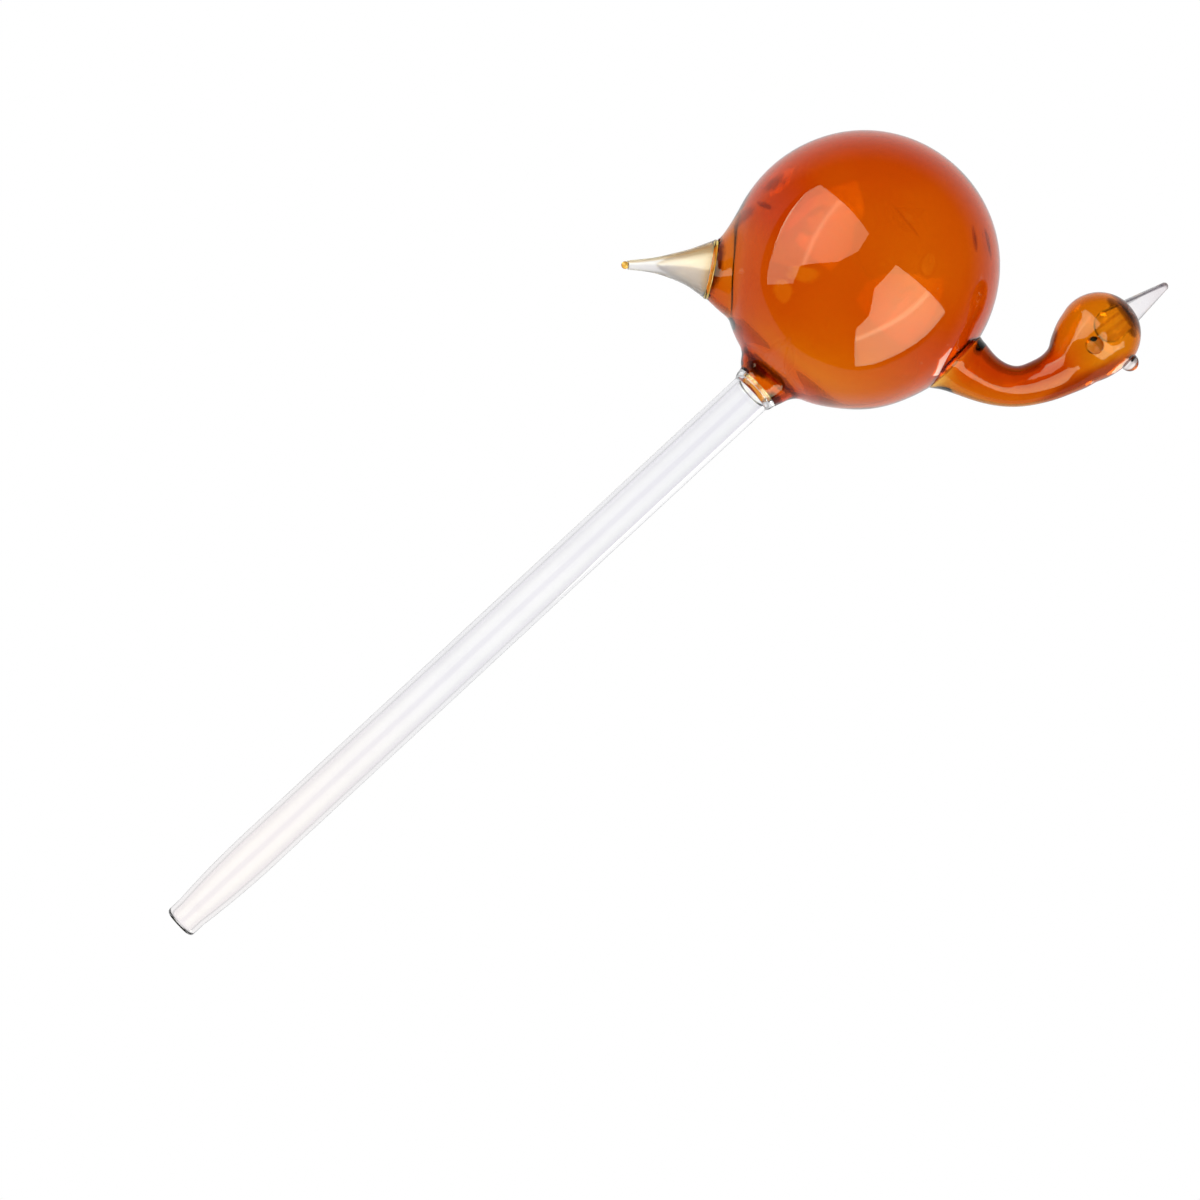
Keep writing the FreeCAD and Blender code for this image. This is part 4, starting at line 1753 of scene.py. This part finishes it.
STEM_GLASS = GlassFinish(
    "stem_glass", (0.958, 0.952, 0.972), (0.94, 0.934, 0.956), edge=(0.86, 0.85, 0.88),
    rim_shade_start=0.55, rim_shade_end=0.98, rim_shade_strength=0.25, stretch=(500.0, 500.0, 18.0), waviness=Waviness.DRAWN,
    wander_scale=45.0,
    patches=(
        Patch((0.0, 0.0, 0.0), 25.0, 75.0, (0.985, 0.957, 0.957), 0.9),
        Patch((0.0, 0.0, 199.0), 12.0, 70.0, (0.925, 0.922, 0.95), 0.85),
    ),
)
CLEAR_GLASS = GlassFinish(
    "clear_glass", (0.985, 0.985, 0.99), (0.93, 0.92, 0.94), edge=(0.5, 0.49, 0.52),
    rim_shade_start=0.45, rim_shade_end=0.95, rim_shade_strength=0.6, stretch=(300.0, 300.0, 900.0),
)
GLOBE_AMBER = GlassFinish(
    "globe_amber", (0.88, 0.615, 0.16), (0.855, 0.54, 0.10), edge=(0.76, 0.47, 0.31),
    rim_shade_start=0.72, rim_shade_end=0.99, rim_shade_strength=0.6, smoke=(0.953, 0.68, 0.0), smoke_density=1919.0,
    stretch=(90.0, 90.0, 40.0), drift_scale=35.0, wander_scale=38.0, waviness=Waviness.BLOWN, seeds=240.0,
    patches=(
        Patch((14.0, 0.0, 203.0), 18.0, 24.0, (0.99, 1.0, 0.4), 1.0, 6.0),
        Patch((8.0, -28.0, 254.0), 7.0, 21.0, (0.96, 0.88, 0.4), 0.9, 6.0),
        Patch((-28.0, -13.0, 216.0), 5.0, 12.0, (0.93, 0.76, 0.5), 0.7, 6.0),
        Patch((-29.5, -23.0, 232.0), 2.5, 11.0, (0.84, 0.38, 0.06), 0.75, 6.0),
        # Painted highlights: a white spot and a pale yellow glint on the globe's near side.
        Patch((-13.3, -24.7, 216.1), 2.2, 0.9, (1.0, 1.0, 1.0), 1.0, 3.0),
        Patch((-13.0, -28.5, 222.0), 1.4, 0.9, (1.0, 1.0, 0.8), 0.95, 2.4, (0.4, 0.6, 1.0), 40.0),
        Patch((-34.6, -15.7, 234.5), 0.9, 1.6, (0.4, 0.25, 0.26), 0.85, 3.0, (0.6, 0.3, 1.0), 70.0),
        Patch((-33.7, -10.9, 224.3), 0.9, 1.4, (0.42, 0.27, 0.28), 0.85, 3.0, (0.5, 0.3, 1.0), 80.0),
        Patch((-32.8, -16.5, 228.6), 0.4, 0.6, (0.35, 0.16, 0.15), 0.85, 1.6, (0.3, 0.2, 1.0), 10.0),
        Patch((9.6, -22.4, 261.0), 0.35, 0.4, (0.35, 0.16, 0.1), 0.8, 0.5, (0.18, 0.15, 1.0), -36.0),
        Patch((12.7, -16.8, 263.6), 0.3, 0.35, (0.25, 0.12, 0.08), 0.9, 0.5, (0.13, 0.15, 1.0), -30.0),
        Patch((-5.2, -32.7, 249.8), 0.2, 0.3, (0.6, 0.36, 0.2), 0.6, 0.8, (0.06, 0.3, 1.0), -4.0),
        # Painted shade: dark spots where the tail ring and the collar meet the globe.
        Patch((-30.1, -7.0, 211.7), 1.0, 1.1, (0.14, 0.04, 0.035), 0.95, 2.4, (0.26, 0.08, 1.0), -50.0),
        Patch((0.0, -7.0, 202.8), 0.6, 0.5, (0.1, 0.04, 0.03), 0.93, 1.6, (0.07, 0.04, 1.0), 6.0),
        Patch((-3.5, -6.0, 200.9), 1.1, 0.8, (0.16, 0.1, 0.11), 0.93, 2.0, (0.5, 0.12, 1.0)),
        Patch((5.6, -4.0, 199.5), 0.9, 0.6, (0.14, 0.11, 0.12), 0.93, 1.6, (0.5, 0.12, 1.0)),
        Patch((3.0, -6.0, 201.2), 0.8, 0.7, (1.0, 1.0, 0.5), 0.95, 1.4, (0.5, 0.15, 1.0)),
    ),
)
NECK_AMBER = GlassFinish(
    "neck_amber", (0.87, 0.42, 0.10), (0.79, 0.31, 0.05), edge=(0.7, 0.42, 0.2),
    rim_shade_start=0.75, rim_shade_end=0.98, rim_shade_strength=0.4, smoke=(0.925, 0.65, 0.0), smoke_density=1498.0,
    stretch=(420.0, 260.0, 160.0), drift_scale=60.0, wander_scale=60.0, seeds=300.0, bend=(30.4, 0.0, 260.0),
    patches=(
        Patch((30.4, 0.0, 260.0), 17.5, 5.0, (0.92, 0.62, 0.18), 0.75, 1.0, (1.0, 0.0, 1.0), outside=True),
        Patch((48.4, 0.0, 272.5), 8.0, 8.0, (0.95, 0.79, 0.2), 0.95),
        # Painted highlight: a thin pale line along the outer edge of the bend.
        Patch((30.4, 0.0, 260.0), 23.2, 0.6, (0.98, 0.86, 0.45), 0.6, 0.5, (1.0, 0.0, 1.0), outside=True),
        Patch((28.0, -6.0, 243.0), 6.0, 6.0, (0.87, 0.42, 0.1), 0.8),
        # Painted shade: under the head, along the bend's inner crease and over the crown round the beak.
        Patch((55.0, -4.0, 259.4), 1.6, 2.2, (0.62, 0.26, 0.08), 0.85, 0.8, (0.2, 0.2, 1.0), 76.0),
        Patch((34.16, 0.0, 256.44), 9.1, 0.8, (0.26, 0.13, 0.19), 0.93, 0.4, (1.0, 0.0, 1.0)),
        Patch((49.9, 0.0, 281.9), 6.7, 0.8, (0.14, 0.08, 0.11), 0.92, 1.4),
    ),
)
BEAK_GLASS = GlassFinish(
    "beak_glass", (0.99, 0.98, 0.998), (0.84, 0.78, 0.8), edge=(0.42, 0.36, 0.36),
    rim_shade_start=0.55, rim_shade_end=0.95, rim_shade_strength=0.8, stretch=(700.0, 700.0, 40.0),
    patches=(
        # Painted shade: a dark line and a grey spot at the point, and dark reddish streaks along both sides of
        # the root.
        Patch((50.5, 0.0, 291.7), 0.15, 0.35, (0.08, 0.06, 0.08), 0.9, 0.3, (0.0, 0.0, 1.0), 71.5),
        Patch((50.86, 0.0, 292.0), 0.7, 0.6, (0.6, 0.5, 0.5), 0.7, 0.4),
        Patch((47.6, 0.0, 275.0), 0.25, 0.3, (0.55, 0.3, 0.25), 0.8, 0.5, (0.1, 0.0, 1.0), 83.2),
        Patch((49.8, 0.0, 275.0), 0.3, 0.4, (0.7, 0.42, 0.3), 0.8, 0.5, (0.1, 0.0, 1.0), 83.2),
    ),
)
EYE_GLASS = GlassFinish(
    "eye_glass", (0.96, 0.9, 0.9), (0.92, 0.83, 0.8), edge=(0.25, 0.2, 0.2),
    rim_shade_start=0.6, rim_shade_end=0.95, rim_shade_strength=0.6, stretch=(700.0, 700.0, 700.0), drift_scale=400.0,
    wander_scale=300.0,
    patches=(
        # Painted shade: a dark band across the front bead.
        Patch((58.9, 0.0, 273.2), 0.3, 0.2, (0.06, 0.03, 0.04), 0.9, 0.3, (1.0, 0.16, 0.2), 4.0),
        Patch((49.8, -10.3, 266.6), 3.0, 1.0, (0.86, 0.8, 0.3), 0.9),
    ),
)
GOLDEN_GLASS = GlassFinish(
    "golden_glass", (0.98, 0.76, 0.25), (0.94, 0.62, 0.14), edge=(0.6, 0.3, 0.08),
    rim_shade_start=0.6, rim_shade_end=0.97, rim_shade_strength=0.4, stretch=(400.0, 400.0, 400.0), drift_scale=120.0,
)
IVORY_GLASS = GlassFinish(
    "ivory_glass", (0.93, 0.915, 0.93), (0.89, 0.865, 0.87), edge=(0.74, 0.68, 0.62),
    rim_shade_start=0.6, rim_shade_end=0.97, rim_shade_strength=0.4, stretch=(200.0, 200.0, 60.0), drift_scale=120.0,
    polish=0.34, coat=1.0,
    patches=(
        Patch((-31.5, 0.0, 211.0), 5.0, 9.0, (0.935, 0.875, 0.79), 0.9),
        Patch((-36.0, 0.0, 214.0), 3.0, 5.0, (0.94, 0.87, 0.56), 0.8),
        Patch((-107.4, 0.0, 248.2), 81.3, 0.5, (0.95, 0.62, 0.28), 0.85, 0.3, (1.0, 0.0, 1.0)),
    ),
)
TIP_AMBER = GlassFinish(
    "tip_amber", (0.95, 0.62, 0.14), (0.88, 0.45, 0.06), edge=(0.6, 0.2, 0.04),
    stretch=(700.0, 700.0, 700.0), drift_scale=600.0, wander_scale=500.0,
)


def main() -> None:
    """Builds the studio, then the bird from the stem up, and reports each piece."""
    logging.basicConfig(level=logging.INFO, format="%(name)s: %(message)s")
    layout = Layout()
    studio = Studio(layout)
    studio.build()
    groups = GlassGroups()
    works = TurnedGlass()
    stem = Stem(layout, works)
    clear = [stem.tube(STEM_GLASS.make(groups))]
    stem.weld_ring(CLEAR_GLASS.make(groups))
    globe = Globe(layout)
    globe.build(GLOBE_AMBER.make(groups))
    neck = Neck(layout, globe).build(NECK_AMBER.make(groups))
    clear.append(Beak(layout, works).build(BEAK_GLASS.make(groups)))
    eye_glass, black = EYE_GLASS.make(groups), DotFinish().make(groups)
    for eye in (Eye(layout, works, "front", 4.0, 0.0), Eye(layout, works, "side", -25.0, -82.5)):
        clear.append(eye.bead(eye_glass))
        eye.dot(black)
    tail = Tail(layout, works)
    tail.weld_ring(GOLDEN_GLASS.make(groups))
    tail.cone(IVORY_GLASS.make(groups))
    tail.tip(TIP_AMBER.make(groups))
    studio.aim_windows(neck, clear)


if __name__ == "__main__":
    main()
